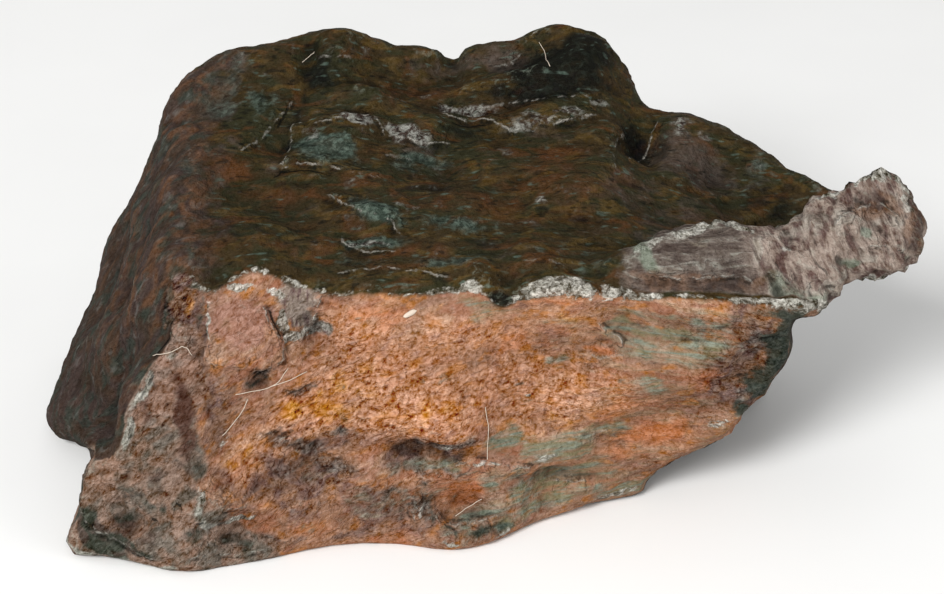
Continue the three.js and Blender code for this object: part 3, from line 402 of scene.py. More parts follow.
# Painted patches: the face that they lie on, the axes that their rows are measured across, and the rows.
PATCHES = [
    ("front", "xz", {"grainy": GRAINY, "ochre": OCHRE, "glow": GLOW, "dull": DULL, "green": GREEN}),
    ("front", "xz", {"char": CHAR_AND_SHADE, "pale": PALE, "wedge": WEDGE, "pink": PLATE_PINK, "gloom": DARK_TEAL_AND_SHADE}),
    ("top", "xy", {"teal": TEAL, "lilac": LILAC, "rust": RUST, "dusk": HOLLOW_SHADE, "haze": HAZE}),
    ("slab", "xz", {"band": SLAB_BAND, "slab_dark": SLAB_SHADE, "slab_pale": SLAB_PALE}),
    ("horn", "xz", {"horn_green": HORN_GREEN, "horn_dark": HORN_DARK}),
    ("horn", "xy", {"horn_crust": HORN_CRUST}),
]

# Edges of flakes and plates, each a step in the mesh with a painted highlight along it and a painted shadow
# under it: face, rise in millimetres, path with the high side on its left.
LEDGES = [
    ["top", 0.9, [-6.6, 13.6], [-5.6, 12.4], [-2.9, 12.4], [0, 12.5], [1.9, 10.6], [4, 9.2], [7.4, 9.3],
        [12, 11], [16, 12]],
    ["top", 0.5, [15, 14.6], [8.8, 14.4], [3.3, 15.2], [-0.8, 14.9], [-4.2, 15.1], [-6.6, 13.9]],
    ["top", 0.8, [-24.5, 8.6], [-20.5, 8.6], [-18.5, 9.5], [-15.5, 11.1], [-14.6, 9.2], [-13.7, 7.3],
        [-8, 6.8], [-4.4, 7.6]],
    ["top", 0.8, [-23.8, 9.8], [-26.7, 9.2], [-26.4, 6.3], [-27, 3], [-27.6, 0.9], [-25.3, 1.5], [-22, 1.2],
        [-18.8, -0.1], [-13.6, -1.8]],
    ["top", 0.7, [-21.6, -3.6], [-20, -5.4], [-16.6, -8.4], [-12.6, -10], [-11, -12.4]],
    ["top", 0.5, [-19.4, -11], [-18.6, -13], [-15.6, -14.2], [-12, -14.9], [-10.6, -14.2]],
    ["top", 0.7, [0.6, 21.4], [3, 21.8], [5.6, 23.4], [8, 26.4]],
    ["top", 0.8, [24, 16], [22.8, 13.4], [21.7, 10.6], [20.2, 8], [18.6, 4.8]],
    ["top", 0.5, [17.4, 0.6], [17.2, 4], [17.8, 8], [19.2, 11.6]],
    ["top", 0.6, [-33.6, 3.6], [-30.4, 7], [-28.8, 9.8], [-27.2, 12], [-26.2, 14.6]],
    ["top", 0.5, [-24.4, 20.6], [-20.8, 19.5], [-18, 20.4]],
    ["top", 0.4, [4, -18.2], [8.4, -18.3], [12.4, -18.8]],
    ["top", 0.4, [-15.6, 3.3], [-12.4, 4.2], [-9, 4.4]],
    ["top", 0.4, [7.6, -4.2], [9.8, -4.1], [11.2, -3.6]],
    ["top", 0.5, [33.6, -1.6], [36.4, -1.7], [40.6, -0.6]],
    ["top", 0.5, [-20, -18.6], [-14, -17.6], [-8, -18.9], [-4, -20]],
    ["front", 0.9, [-36, 30.8], [-35.5, 28.7], [-36.1, 26.1], [-32.8, 26.3], [-28.8, 25.3], [-26, 25.8],
        [-26.2, 28.5], [-28, 31.6], [-28.7, 33.7]],
    ["front", 0.7, [-24.4, 27], [-23, 28.8], [-21.9, 31], [-21.2, 33.2], [-21.4, 35]],
    ["front", 0.8, [-37.8, 11.8], [-37.3, 10.4], [-35.6, 9.1], [-34, 7.9], [-31.2, 7.9], [-29.2, 9.1]],
    ["front", 0.9, [7.7, 9.5], [5, 10.7], [2.4, 11.6], [-2.2, 12.4], [-5.5, 11.6], [-9, 10]],
    ["front", 0.6, [15.2, 5.8], [11.8, 6], [7.8, 6.8]],
    ["front", 0.6, [2.2, 4.4], [-0.2, 3.4], [-3.2, 2.9], [-6.1, 3.4], [-7.6, 5]],
    ["front", 0.7, [-8.6, 7.6], [-10, 5.6], [-9.4, 3]],
    ["front", 0.8, [18.6, 27], [16.9, 28.3], [15.2, 29.2], [14, 30.9]],
    ["front", 0.4, [34, 30.6], [27.3, 29.9], [21, 29.6], [15.9, 28.9]],
    ["front", 0.3, [33, 28.8], [27.3, 28.3], [21, 27.9], [18.6, 27.4]],
    ["front", 0.5, [17.8, 14.3], [15.6, 14.1], [13.2, 13.6], [10.4, 14]],
    ["front", 0.4, [19.7, 26.7], [14.6, 25.7], [10.8, 26.2]],
    ["front", 0.6, [-22.9, 15.9], [-24.5, 16.3], [-26.2, 15.7], [-28.6, 14.4]],
    ["front", 0.5, [-20.4, 14.3], [-24.3, 13.7], [-28, 14.4]],
    ["front", 0.5, [1.6, 35], [1.2, 34.2], [3.4, 33.8], [6, 34.4]],
    ["slab", 0.9, [-53.6, 7.4], [-52.3, 5.4], [-51, 4.2], [-48, 3.3], [-45.6, 2.5], [-42.5, 1.9]],
    ["slab", 0.6, [-39.6, 2.1], [-37.4, 2.7], [-35.6, 2.2], [-32, 1.8], [-28, 2]],
    ["slab", 0.8, [-46.9, 15.2], [-46.2, 17.4], [-45.1, 21.6], [-43.9, 23.6], [-42.6, 25.6]],
    ["horn", 0.8, [34.4, 37.4], [35.7, 37.1], [37.9, 36.3], [39.6, 35.3], [40.5, 34.4], [40.8, 33.2]],
    ["horn", 0.9, [46.6, 34.7], [44.7, 34.1], [42.4, 34.2], [40.8, 33.8], [39.9, 33]],
    ["horn", 0.6, [35.8, 36.8], [36.9, 35.3], [38.6, 34.3], [39.9, 34.2]],
    ["horn", 0.7, [53.6, 40.4], [52.4, 43], [50.4, 44.1], [48.1, 43.8], [45.9, 43], [43.6, 41.6]],
    ["horn", 0.8, [48.2, 39.2], [50.5, 39.1], [52.8, 38.4], [54.4, 38.6]],
    ["horn", 0.6, [19.4, 37.3], [22.7, 36.8], [25.9, 36.5], [29.1, 36.6], [32.3, 36.7], [34.8, 35.4]],
    ["horn", 0.4, [20.4, 38.4], [24.6, 38], [28.4, 38.6], [31.6, 38.4]],
]

# Open cracks and clefts, sunk into the mesh and darkened with painted shade: face, depth in millimetres,
# path.
CRACKS = [
    ["front", 0.6, [-30.4, 23.5], [-28.9, 24.4], [-27.8, 25]],
    ["front", 0.25, [-26.9, 21.1], [-24.1, 22], [-21.6, 23.1]],
    ["front", 0.7, [-26.2, 28.5], [-27.3, 31], [-28, 33]],
    ["front", 0.18, [-6.9, 7.6], [-6.7, 4.9], [-4.5, 2.6], [-1.4, 2.1], [1.8, 2.9], [3.8, 4]],
    ["front", 0.12, [16, 29.3], [21, 29], [25, 29.3], [29, 29.5], [33, 30.1]],
    ["left", 1.2, [-19, 33.6], [-20.8, 29], [-22.6, 25.8]],
    ["top", 0.5, [-28.8, -0.9], [-27.4, 0.6], [-24, 0.6], [-20, -0.8]],
    ["top", 0.6, [-5, 11.5], [-2.2, 11.6], [0.4, 11.7]],
    ["top", 0.5, [-28.6, 8.6], [-27.6, 11], [-26.8, 13.4]],
    ["horn", 0.25, [41.2, 39.2], [42, 38], [43.2, 37], [43.6, 35.4]],
    ["slab", 0.6, [-43.6, 6.8], [-42.4, 7]],
    ["slab", 0.6, [-37.8, 6.9], [-36.4, 6.7]],
    ["slab", 0.5, [-40.2, 9.6], [-39, 9.3]],
]

# How far the top's crust hangs over the rim: x, drop in millimetres.
TOP_DROP = [
    [-46, 0], [-37, 0.4], [-33, 0], [-29, -0.2], [-24, 0.6], [-20, 1.1], [-10, 1.2], [-2, 0.8], [1.6, 1.6],
    [4, 0.6], [8, 0], [20, 0],
]
# Crust along the rim: x, width, strength.
CRUST = [
    [-46, 1, 0.2], [-38, 1.2, 0.35], [-35, 0.8, 0.5], [-28, 0.8, 0.55], [-21, 0.8, 0.5], [-16, 0.9, 0.4],
    [-8, 0.8, 0.55], [-2, 1, 0.8], [1.6, 0.5, 0.4], [4, 1, 0.7], [8, 1.6, 0.95], [15, 1.7, 0.88],
    [19, 1.1, 0.68], [23, 0.8, 0.6], [32, 0.75, 0.6], [35, 1.1, 0.85], [42, 1.2, 0.75],
]

# Reading the tables of patches and lines, in millimetres.
FACE_AXES = {"top": "xy", "left": "yz", "front": "xz", "slab": "xz", "horn": "xz"}
PATCH_ZONE = (0.1, 0.5)  # share of its face from which a patch shows, and shows in full
LINE_ZONE = (0.2, 0.6)  # the same for a line
LINE_FADE = 1.6  # length over which a line's ends fade
LINE_REACH = 2.2  # how far beside it a line is felt
LEDGE_STEP = 0.35  # half the width of a ledge's step, how far the lift behind it reaches, and its undercut
LEDGE_SINK = 3.5
LEDGE_UNDERCUT = 0.35
LEDGE_GAP = 0.8
LEDGE_GAP_WIDTH = 0.55
CRACK_DEPTH = 0.6
CRACK_WIDTH = 0.45
CORNER_EDGE = 0.001  # at a corner of a path, how much the leg that lies more across counts as nearer

# Directions on the faces that don't lie along the axes.
LEFT_SEAM = [-0.46, -0.03, -0.89]
LEFT_ACROSS = [-0.13, 0.99, 0.04]
HORN_ALONG = [0.9, 0, 0.42]
HORN_ACROSS = [-0.42, 0, 0.9]
HORN_DEEP = [0, 1, 0]

# Where one face's finish gives way to the next: start and end of each fade, in millimetres.
ZONE_BLEND = 0.5
HORN_JOIN = (-2.2, 0.4)
HORN_START = (15, 22)
HORN_FROM = (34.0, 39.0)  # the flange ends and the horn itself begins
SLAB_JOIN = (0.1, 0.9)
SLAB_SIDE = 0.95
SLAB_SIDE_TOP = 10
SLAB_SIDE_FADE = (-34.6, -39.0)
SLAB_EDGE_FADE = (0.2, -0.8)
RIM_REACH = (-3, -0.6)
CREST_BAND = (40.0, 44.0)
LEFT_SPILL = 0.5  # how much of the left end's crust spills over onto the top
LEFT_FADE = -10.0
BORDER_STRAY = 1.8

# Noises of the shape and of the borders: size in millimetres, also along each axis, octaves, shift.
NOISES = {
    "stray": (5, 3, 83.1),
    "wander_u": (4, 3, 91.3),
    "wander_v": (4, 3, 57.7),
    "drift": ((13, 6, 9), 3, 11.3),
    "swell": (6, 4, 0),
    "tooth": (1.7, 3, 31.7),
    "flakes": (8, 2, 5.1),
    "layers": ((10, 4, 0.9), 3, 3.9),
    "beds": (7, 2, 8.3),
    "waves": ((7, 5, 1.4), 3, 23.1),
    "seams": ((4.5, 1.8, 3), 3, 41.9),
    "ribs": ((1.8, 7, 4), 2, 53.3),
    "horn": (5, 3, 71.9),
    "back": (9, 3, 61.1),
}
WANDER = {"wander_u": 1.3, "wander_v": 0.8}  # how far patches stray across and up their face
GRAINS = (0.95, 7.7)  # size, shift
CRUMBS = (1.9, 17.3)
CRUMB_GAP = 0.6  # how wide the gaps between crumbs are, and how round the crumbs
CRUMB_ROUND = 0.6
CRUMBLY = {"char": 1.3, "lilac": 0.8, "pale": 0.7, "dull": 0.6}  # patches with crumbs, and how high those are
FLAKE_PITCH = 4.8
FLAKE_EDGE = (0, 0.13)
LAYER_PITCH = 3.2
LAYER_EDGE = (1, 0.85)
LAYERS_FROM = (-2, 18)
RIBS_FROM = (32, 37)
GROUND_FADE = (-0.6, 2.4)

# Laying the mesh onto the field.
MERGE = 1e-6  # metres within which the loose triangles' corners are one
SETTLE_PASSES = 3
SLOPE_STEP = 0.02
LEAST_SLOPE = 0.2
MOST_PULL = 0.9
EDGE_ROUNDS = 2  # rounds of averaging that find worn edges, lightened partly as a painted highlight, and those that find hollows, darkened as painted shade
HOLLOW_ROUNDS = 40

# Noises of the finish: the places they follow, the stretch of those along x, y and z, then the noise's size
# in millimetres, detail, roughness and swirl.
MOTTLES = {
    "patchy": ("here", None, 3.0, 2.0, 0.55, 0.4),
    "breaks": ("here", None, 1.7, 2.0, 0.7),
    "back_film": ("here", None, 5.0, 2.0, 0.6),
    "streaks": ("here", (1.6, 0.5, 0.35), 0.9, 1.0),
    "dashes": ("here", (0.35, 1.0, 1.0), 0.8, 1.0, 0.6),
    "blotches": ("here", (0.45, 1.0, 1.0), 3.6, 3.0, 0.6, 0.9),
    "glows": ("here", (0.45, 1.0, 1.0), 2.4, 2.0, 0.6, 0.9),
    "embers": ("here", (0.45, 1.0, 1.0), 3.0, 2.0, 0.6, 0.8),
    "waves": ("here", (0.3, 0.5, 1.0), 1.2, 2.0, 0.6, 0.8),
    "lines": ("here", (0.2, 0.9, 1.0), 0.9, 3.0, 0.65, 0.9),
    "fine": ("beds", (0.8, 0.9, 1.0), 0.9, 4.0, 0.68, 0.5),
    "dust": ("beds", None, 0.4, 2.0, 0.7),
    "layers": ("beds", (0.16, 0.5, 1.0), 1.1, 3.0, 0.6, 0.5),
    "wide": ("beds", (0.16, 0.5, 1.0), 2.8, 2.0),
    "webbing": ("beds", (0.7, 0.8, 1.0), 1.2, 3.0, 0.65, 0.3),
    "flecks": ("beds", (0.6, 0.8, 1.0), 0.7, 2.0, 0.6),
    "threads": ("beds", (0.06, 0.5, 1.0), 0.5, 1.0),
    "broad": ("beds", (0.5, 0.6, 1.0), 6.0, 2.0, 0.6),
    "spots": ("beds", (0.5, 0.6, 1.0), 2.2, 2.0),
    "freckles": ("beds", (0.6, 0.8, 1.0), 1.7, 2.0),
    "seams": ("down", None, 1.6, 2.0, 0.6, 0.5),
    "left_wide": ("down", None, 3.4, 2.0, 0.6),
    "left_glows": ("down", None, 2.6, 2.0, 0.5, 0.8),
    "left_film": ("down", None, 2.2, 2.0, 0.6),
    "ribs": ("ribbed", None, 1.0, 3.0, 0.6, 0.6),
}

# The finish of each face: its ground, then the layers on it. A layer has its noise, or "on" and its painted
# patch, how that fades in, its strengths, and its colour. A ground, and a colour that is mottled, has a
# noise, how that fades in, two colours, and its strength where it isn't 1.
FACES = {
    # Orange, buff and brown rust, drawn out along its beds and more so to the right.
    "front": [
        ("broad", (0.38, 0.62), "orange", "brown"),
        ("wide", (0.5, 0.68), [0.55], "buff"),
        ("spots", (0.5, 0.34), [0.55], "red_brown"),
        ("on grainy", (0, 1), [0.6], "salmon"),
        ("freckles", (0.54, 0.68), [0.6], "ochre"),
        ("freckles", (0.44, 0.3), [0.6], "pink"),
        ("layers", (0.48, 0.62), ["right", 0.4], "green"),
        ("on dull", (0.1, 0.9), [0.9], ("patchy", (0.38, 0.6), "dull", "mauve")),
        ("on glow", (0.1, 0.9), [0.7], "glow"),
        ("on ochre", (0.1, 0.9), [0.95], ("patchy", (0.4, 0.62), "ochre", "yellow")),
        ("on pink", (0.2, 0.8), [0.9], ("patchy", (0.32, 0.5), "brown", "pink")),
        ("on green", (0.2, 0.8), ["film"], ("layers", (0.4, 0.58), "green", "grey_green")),
        ("on wedge", (0.3, 0.7), [], ("streaks", (0.3, 0.5), "mauve", "wedge")),
        # Black-grey mineral, partly painted shade under the overhang and in pits.
        (
            "on char", (0.2, 0.8), [0.85],
            ("fine", (0.4, 0.56), "char", ("dust", (0.5, 0.7), "ash", "crust")),
        ),
        # Painted shade in clefts and pits, and over the far end, partly its own dark teal-brown.
        ("on gloom", (0.2, 0.8), [0.9], ("patchy", (0.42, 0.62), "gloom", "teal")),
    ],
    # Warm dark brown and olive, with blue-green film, rust and amber glows, haze and lilac flakes.
    "top": [
        ("blotches", (0.42, 0.58), "umber", "olive"),
        ("glows", (0.5, 0.68), [0.7], "amber"),
        ("embers", (0.54, 0.7), [0.5], "rust"),
        ("on rust", (0.05, 0.95), [0.75], "rust"),
        ("on haze", (0.1, 0.9), [0.75], ("patchy", None, "mauve_brown", "haze")),
        ("on teal", (0.2, 0.8), [0.8], ("fine", (0.4, 0.66), "teal", "verdigris")),
        # Painted shade in the top's hollows.
        ("on dusk", (0.1, 0.9), [0.92], ("fine", (0.45, 0.7), "black", "teal", 0.2)),
        (
            "on lilac", (0.25, 0.75), [0.9],
            ("fine", (0.42, 0.6), "mauve_brown", ("patchy", None, "lilac", "pale")),
        ),
        # Short dashes of painted glint in the grey-green film's colour, and of painted shade in black.
        ("dashes", (0.62, 0.78), [0.6], "verdigris"),
        ("dashes", (0.38, 0.3), [0.6], "black"),
    ],
    # Brown and mauve-brown, rusty above, with short flecks running down it.
    "left": [
        ("left_wide", (0.4, 0.6), "left_brown", "mauve_brown"),
        ("left_glows", (0.42, 0.68), ["higher"], "left_rust"),
        ("left_film", (0.48, 0.66), [0.6], "teal"),
        ("seams", (0.58, 0.74), [0.3], "lilac"),
    ],
    # The same crust as the top, duller, on the back, the far end and the underside.
    "back": [
        ("blotches", (0.4, 0.6), "umber", "mauve_brown"),
        ("back_film", (0.5, 0.68), [0.6], "teal"),
        ("glows", (0.54, 0.7), [0.6], "rust"),
    ],
    # Pinkish grey-brown in wavy layers, with a dark red-brown band up its right.
    "slab": [
        ("patchy", (0.4, 0.6), "slab_brown", "slab_grey"),
        ("wide", (0.5, 0.66), [0.5], "brown"),
        ("raised", (17.0, 22.0), [0.3], "pink"),
        ("on band", (0.15, 0.85), [0.85], "band"),
        # Painted shade under the slab's foot and in its pits.
        ("on slab_dark", (0.2, 0.8), [0.85], ("patchy", (0.4, 0.6), "char", "gloom")),
        ("on slab_pale", (0.25, 0.75), [0.8], "pale"),
    ],
    # Flange: grey-mauve with fine lines along it; horn beyond it: pink with steep ribs.
    "horn": [
        ("lines", (0.56, 0.34), "flange", "mauve_brown", 0.8),
        ("lines", (0.54, 0.7), [0.5], "pale"),
        ("far", None, [], "horn"),
        ("ridge", None, [0.85], ("patchy", None, "pale", "crust_white")),
        ("on horn_green", (0.2, 0.8), [0.8], "grey_green"),
        ("on horn_dark", (0.15, 0.85), [0.8], ("patchy", (0.4, 0.6), "mauve_brown", "dull")),
    ],
}
DOWN_SIZES = (1.7, 1.0, 1.0)  # how much flecks are drawn out down the left end, and ribs up the horn
RIB_SIZES = (1.1, 4.0, 3.0)
BED_RISE = 0.2  # how the front's beds climb to the right, and bend back
BED_BEND = 0.006
GRAIN_SIZE = 0.56
LUMP_SIZE = 1.7
FRONT_RIGHT = (6.0, 26.0)  # where the front's layers grow strong
LEFT_RUSTY = (10.0, 34.0)  # heights between which the left end grows rusty
STONE_SPECULAR = 0.08
# Painted shares that the grain and relief read.
SHARES = (
    "top", "left", "slab", "horn", "rim", "grainy", "ochre", "green", "char", "dull", "pale", "horn_crust",
    "ledge", "ledge_on", "crack", "crack_on",
)

# Lint: points along each hair, and the white chip.
HAIRS = [
    [[-0.2, -24.3, 19.6], [0.1, -24.8, 14.8], [0.1, -25.4, 12.1]],
    [[-0.5, -25.4, 6.1], [-4.1, -26.2, 3.8]],
    [[-30.8, -25.2, 21.4], [-31.9, -25.5, 19.2], [-34.4, -25.9, 16.3]],
    [[-43, -22.1, 26], [-40.6, -23, 27.1], [-38.9, -22.7, 27.8], [-38.2, -22.2, 26.6]],
    [[-32.3, -25.3, 22.2], [-27.7, -24.3, 22.7], [-25.6, -23.4, 24.9]],
    [[-27.7, -24.3, 22.7], [-23.2, -23.1, 24.2]],
    [[7.4, 23.6, 49.5], [8.8, 17.5, 48.4]],
    [[-25.4, 20.4, 47.9], [-23.9, 21.7, 48.9]],
]
HAIR_STEPS = 8  # rings between two points of a hair
HAIR_RISE = 1.6  # how high its middle lies, in radii
CHIP = [-9.8, -22.2, 32.4]
CHIP_SIZE = [1.9, 0.65, 0.4]
CHIP_TURN = 0.45
CHIP_RISE = 0.12
CHIP_ROUGH = 0.25
CHIP_LUMPS = 2.2
LINT_TONE = (198, 184, 168)

# Stage: lamps with their places and sizes in metres, and the frame's width in pixels and millimetres a pixel.
LAMPS = {"key": ([-0.35, -0.7, 0.62], 0.3), "fill": ([0.8, -0.35, 0.4], 0.6)}
FLOOR_SIZE = 1.5
FRAME_WIDTH = 944
FRAME_SCALE = 120 / 876

# Colours of the stone: name, description, as picked on screen.
COLOURS = {
    "orange": ("Orange rust of the front", (149, 110, 86)),
    "salmon": ("Lightest orange, in the middle", (184, 133, 103)),
    "brown": ("Brown of the front", (120, 91, 74)),
    "buff": ("Pinkish buff flecks", (172, 143, 122)),
    "red_brown": ("Red-brown rust", (126, 78, 57)),
    "glow": ("Brightest orange rust", (168, 102, 64)),
    "dull": ("Dull brown rust", (102, 79, 64)),
    "ochre": ("Yellow ochre grains", (154, 98, 46)),
    "yellow": ("Brightest ochre grains", (182, 128, 64)),
    "green": ("Olive-grey film", (106, 100, 76)),
    # Grey-green film, and also the lightening of worn edges, partly a painted highlight.
    "grey_green": ("Pale grey-green film", (106, 113, 100)),
    "pink": ("Pink plate", (136, 101, 87)),
    "mauve": ("Mauve of the plate's border", (93, 75, 72)),
    "wedge": ("Grey wedge beside the plate", (126, 113, 103)),
    # Black-grey mineral, and partly painted shade under the front's overhang and in pits.
    "char": ("Black-grey mineral", (60, 52, 47)),
    "ash": ("Ash-grey mineral", (104, 96, 90)),
    "pale": ("Pale crust", (143, 142, 133)),
    "umber": ("Dark brown of the top", (46, 36, 19)),
    "olive": ("Olive of the top", (38, 37, 21)),
    # Painted shade in clefts and pits, and partly the dark teal-brown of the far end.
    "gloom": ("Dark teal-brown of clefts and the far end", (42, 49, 41)),
    "teal": ("Blue-green film", (42, 53, 47)),
    # Grey-green film, and also the painted glints in short dashes over the top.
    "verdigris": ("Grey-green film of the top", (74, 88, 79)),
    "rust": ("Rust glow of the top", (78, 46, 22)),
    "amber": ("Amber glow of the top", (72, 56, 26)),
    "black": ("Hollows and shadows", (7, 8, 4)),
    "lilac": ("Lilac-grey flakes", (100, 101, 97)),
    "mauve_brown": ("Mauve-brown", (54, 43, 39)),
    "haze": ("Warm grey haze over the top", (84, 74, 67)),
    "left_brown": ("Brown of the left end", (50, 39, 31)),
    "left_rust": ("Rusty seams of the left end", (84, 59, 42)),
    "slab_brown": ("Pinkish brown of the foot slab", (118, 97, 84)),
    "slab_grey": ("Grey-brown of the foot slab", (94, 86, 77)),
    "band": ("Red-brown band of the foot slab", (62, 38, 30)),
    "horn_pink": ("Pink of the horn", (122, 108, 98)),
    "flange": ("Grey-mauve of the flange", (92, 83, 76)),
    "crust": ("Grey crust along the rim", (103, 99, 90)),
    # Whitest crust, and also the painted highlight along flakes' edges.
    "crust_white": ("Whitest crust", (166, 162, 153)),
}


def smax(a, b, k):
    """Smooth maximum: two fields meet in a corner rounded over the width k."""
    h = np.maximum(k - np.abs(a - b), 0) / k
    return np.maximum(a, b) + h * h * k / 4


def smin(a, b, k):
    """Smooth minimum: two fields join over the width k."""
    return -smax(-a, -b, k)


def smooth(start, end, v):
    """Smooth step from 0 at start to 1 at end, which may lie either way round."""
    t = np.clip((v - start) / (end - start), 0, 1)
    return t * t * (3 - 2 * t)


def along(table, s, column=1):
    """A column of a table whose first column rises, read at s along a smooth curve through its rows."""
    rows = np.array(table, float)
    knots, heights = rows[:, 0], rows[:, column]
    slope = np.empty(len(rows))
    slope[1:-1] = (heights[2:] - heights[:-2]) / (knots[2:] - knots[:-2])
    slope[0] = (heights[1] - heights[0]) / (knots[1] - knots[0])
    slope[-1] = (heights[-1] - heights[-2]) / (knots[-1] - knots[-2])
    v = np.clip(s, knots[0], knots[-1])
    i = np.clip(np.searchsorted(knots, v, side="right") - 1, 0, len(rows) - 2)
    width = knots[i + 1] - knots[i]
    t = (v - knots[i]) / width
    rise = heights[i + 1] - heights[i]
    bend = t * (1 - t) * ((1 - t) * (slope[i] * width - rise) - t * (slope[i + 1] * width - rise))
    return heights[i] + t * rise + bend


def ovals(rows, u, v):
    """For each oval of a table: how far (u, v) lies from its middle, squared, in radii, and its height."""
    for cu, cv, ru, rv, turn, height in rows:
        a = math.radians(turn)
        p = ((u - cu) * math.cos(a) + (v - cv) * math.sin(a)) / ru
        q = ((v - cv) * math.cos(a) - (u - cu) * math.sin(a)) / rv
        yield p * p + q * q, height


def relief(rows, u, v):
    """Sum of oval swellings at (u, v)."""
    total = np.zeros_like(u)
    for square, height in ovals(rows, u, v):
        total += height * np.exp(-square)
    return total


def plane(point, out, x, y, z):
    """How far a point lies outside a plane."""
    return (x - point[0]) * out[0] + (y - point[1]) * out[1] + (z - point[2]) * out[2]


def top_height(x, y):
    """Height of the top at (x, y)."""
    front = along(RIM, x, 1)
    share = (y - front) / (along(CREST, x, 1) - front)
    low = along(RIM, x, 2)
    rise = along(CREST, x, 2) - low
    return low + rise * along(TOP_PROFILE, share) + relief(TOP_RELIEF, x, y)


def front_depth(x, z):
    """Where the front lies, as a y."""
    share = np.clip(z / along(RIM, x, 2), -0.1, 1.2)
    curl = 1 + smooth(*CURL_X, x)
    across = 1 - np.sign(1 - share) * np.abs(1 - share) ** curl
    foot = along(FOOT, x)
    return foot + (along(RIM, x, 1) - foot) * across - relief(FRONT_RELIEF, x, z)


def back_depth(x, z):
    """Where the hidden back lies, as a y."""
    share = np.clip(z / along(CREST, x, 2), 0, 1.1)
    belly = BACK_BELLY * smooth(*BACK_BELLY_SHARES, share)
    tuck = BACK_TUCK * smooth(*BACK_TUCK_SHARES, share)
    return along(CREST, x, 1) + belly - tuck


def faces(x, y, z):
    """How far a point lies outside each face of the body."""
    corner = plane(CORNER_POINT, CORNER_OUT, x, y, z)
    flare = RIGHT_FLARE * smooth(*RIGHT_FLARE_HEIGHTS, z)
    return {
        "top": LEAN_TOP * (z - top_height(x, y)),
        "front": LEAN_FRONT * (front_depth(x, z) - y),
        "back": LEAN_SIDE * (y - back_depth(x, z)),
        "left": smax(plane(LEFT_POINT, LEFT_OUT, x, y, z), corner, ROUND_SIDE),
        "right": LEAN_SIDE * (x - RIGHT_FOOT - flare + RIGHT_TAPER * np.abs(y)),
        "under": LIFT * smooth(*LIFT_X, x) * smooth(*LIFT_Y, y) - z - BED,
    }


def body(x, y, z):
    """The block without its slab and horn: negative inside, as for every field here."""
    f = faces(x, y, z)
    rim = smax(f["top"], f["front"], ROUND_RIM)
    ends = smax(f["left"], f["right"], ROUND_SIDE)
    sides = smax(rim, smax(f["back"], ends, 2 * ROUND_SIDE), ROUND_SIDE)
    return smax(sides, f["under"], ROUND_SIDE)


def foot_slab(x, y, z):
    """The layered slab at the lower left of the front."""
    face = front_depth(x, z) - SLAB_PROUD * smooth(*SLAB_FADE, x)
    front = LEAN_FRONT * (face - y)
    thickness = SLAB_THIN + (SLAB_THICK - SLAB_THIN) * smooth(*SLAB_THICKENS, x)
    back = LEAN_SLAB_BACK * (y - face - thickness)
    edge = LEAN_SIDE * (along(SLAB_EDGE, z) - x)
    right = x - SLAB_RIGHT + SLAB_LEAN * z
    ends = smax(smax(edge, right, ROUND_RIM), z - SLAB_TOP, ROUND_RIM)
    return smax(smax(front, back, ROUND_SIDE), smax(ends, -z - BED, ROUND_RIM), ROUND_RIM)


def horn(x, y, z):
    """Flange and horn: a chain of tapered lengths, thinner from front to back."""
    nearest = np.full_like(x, np.inf)
    for start, end in zip(HORN, HORN[1:]):
        a, b = np.array(start[:3]), np.array(end[:3])
        span = b - a
        away = np.stack([x, y, z], -1) - a
        t = np.clip(away @ span / (span @ span), 0, 1)
        away -= t[:, None] * span
        away[:, 1] /= HORN_DEPTH_SHARE
        nearest = np.minimum(nearest, np.linalg.norm(away, axis=1) - start[3] - t * (end[3] - start[3]))
    return nearest


def outline_distance(u, v):
    """Signed distance to the edge of OUTLINE at (u, v): negative inside."""
    corners = np.array(OUTLINE, float)
    nearest = np.full_like(u, np.inf)
    inside = np.zeros(u.shape, bool)
    for (au, av), (bu, bv) in zip(np.roll(corners, 1, axis=0), corners):
        du, dv = bu - au, bv - av
        t = np.clip(((u - au) * du + (v - av) * dv) / (du * du + dv * dv), 0, 1)
        nearest = np.minimum(nearest, (u - au - t * du) ** 2 + (v - av - t * dv) ** 2)
        if dv:
            inside ^= ((av > v) != (bv > v)) & (u < au + (v - av) / dv * du)
    return np.where(inside, -1, 1) * np.sqrt(nearest)


def trim(x, y, z):
    """How far a point lies outside the cone of sight lines through OUTLINE."""
    c, s = math.cos(SIGHT_TILT), math.sin(SIGHT_TILT)
    dy, dz = y - SIGHT_TARGET[1], z - SIGHT_TARGET[2]
    scale = (SIGHT_RANGE + dy * c - dz * s) / SIGHT_RANGE
    return outline_distance((x - SIGHT_TARGET[0]) / scale, (dy * s + dz * c) / scale) * scale


def stone(x, y, z):
    """The whole stone's field."""
    f = smin(body(x, y, z), foot_slab(x, y, z), SLAB_SEAM)
    f = smin(f, horn(x, y, z), HORN_SEAM) - SWELL
    for px, py, pz, radius, depth in THUMBPRINTS:
        away = ((x - px) ** 2 + (y - py) ** 2 + (z - pz) ** 2) / radius**2
        f += depth * np.maximum(1 - away, 0)
    for kx, ky, kz, phase, height in SWELLS:
        f += height * np.sin(kx * x + ky * y + kz * z + phase)
    return smax(f, trim(x, y, z) - TRIM_EASE, ROUND_TRIM)


def blot(rows, u, v):
    """Coverage from 0 to 1 of flat-topped oval patches at (u, v)."""
    total = np.zeros_like(u)
    for square, strength in ovals(rows, u, v):
        total = np.maximum(total, strength * np.exp(-(square**1.5)))
    return total


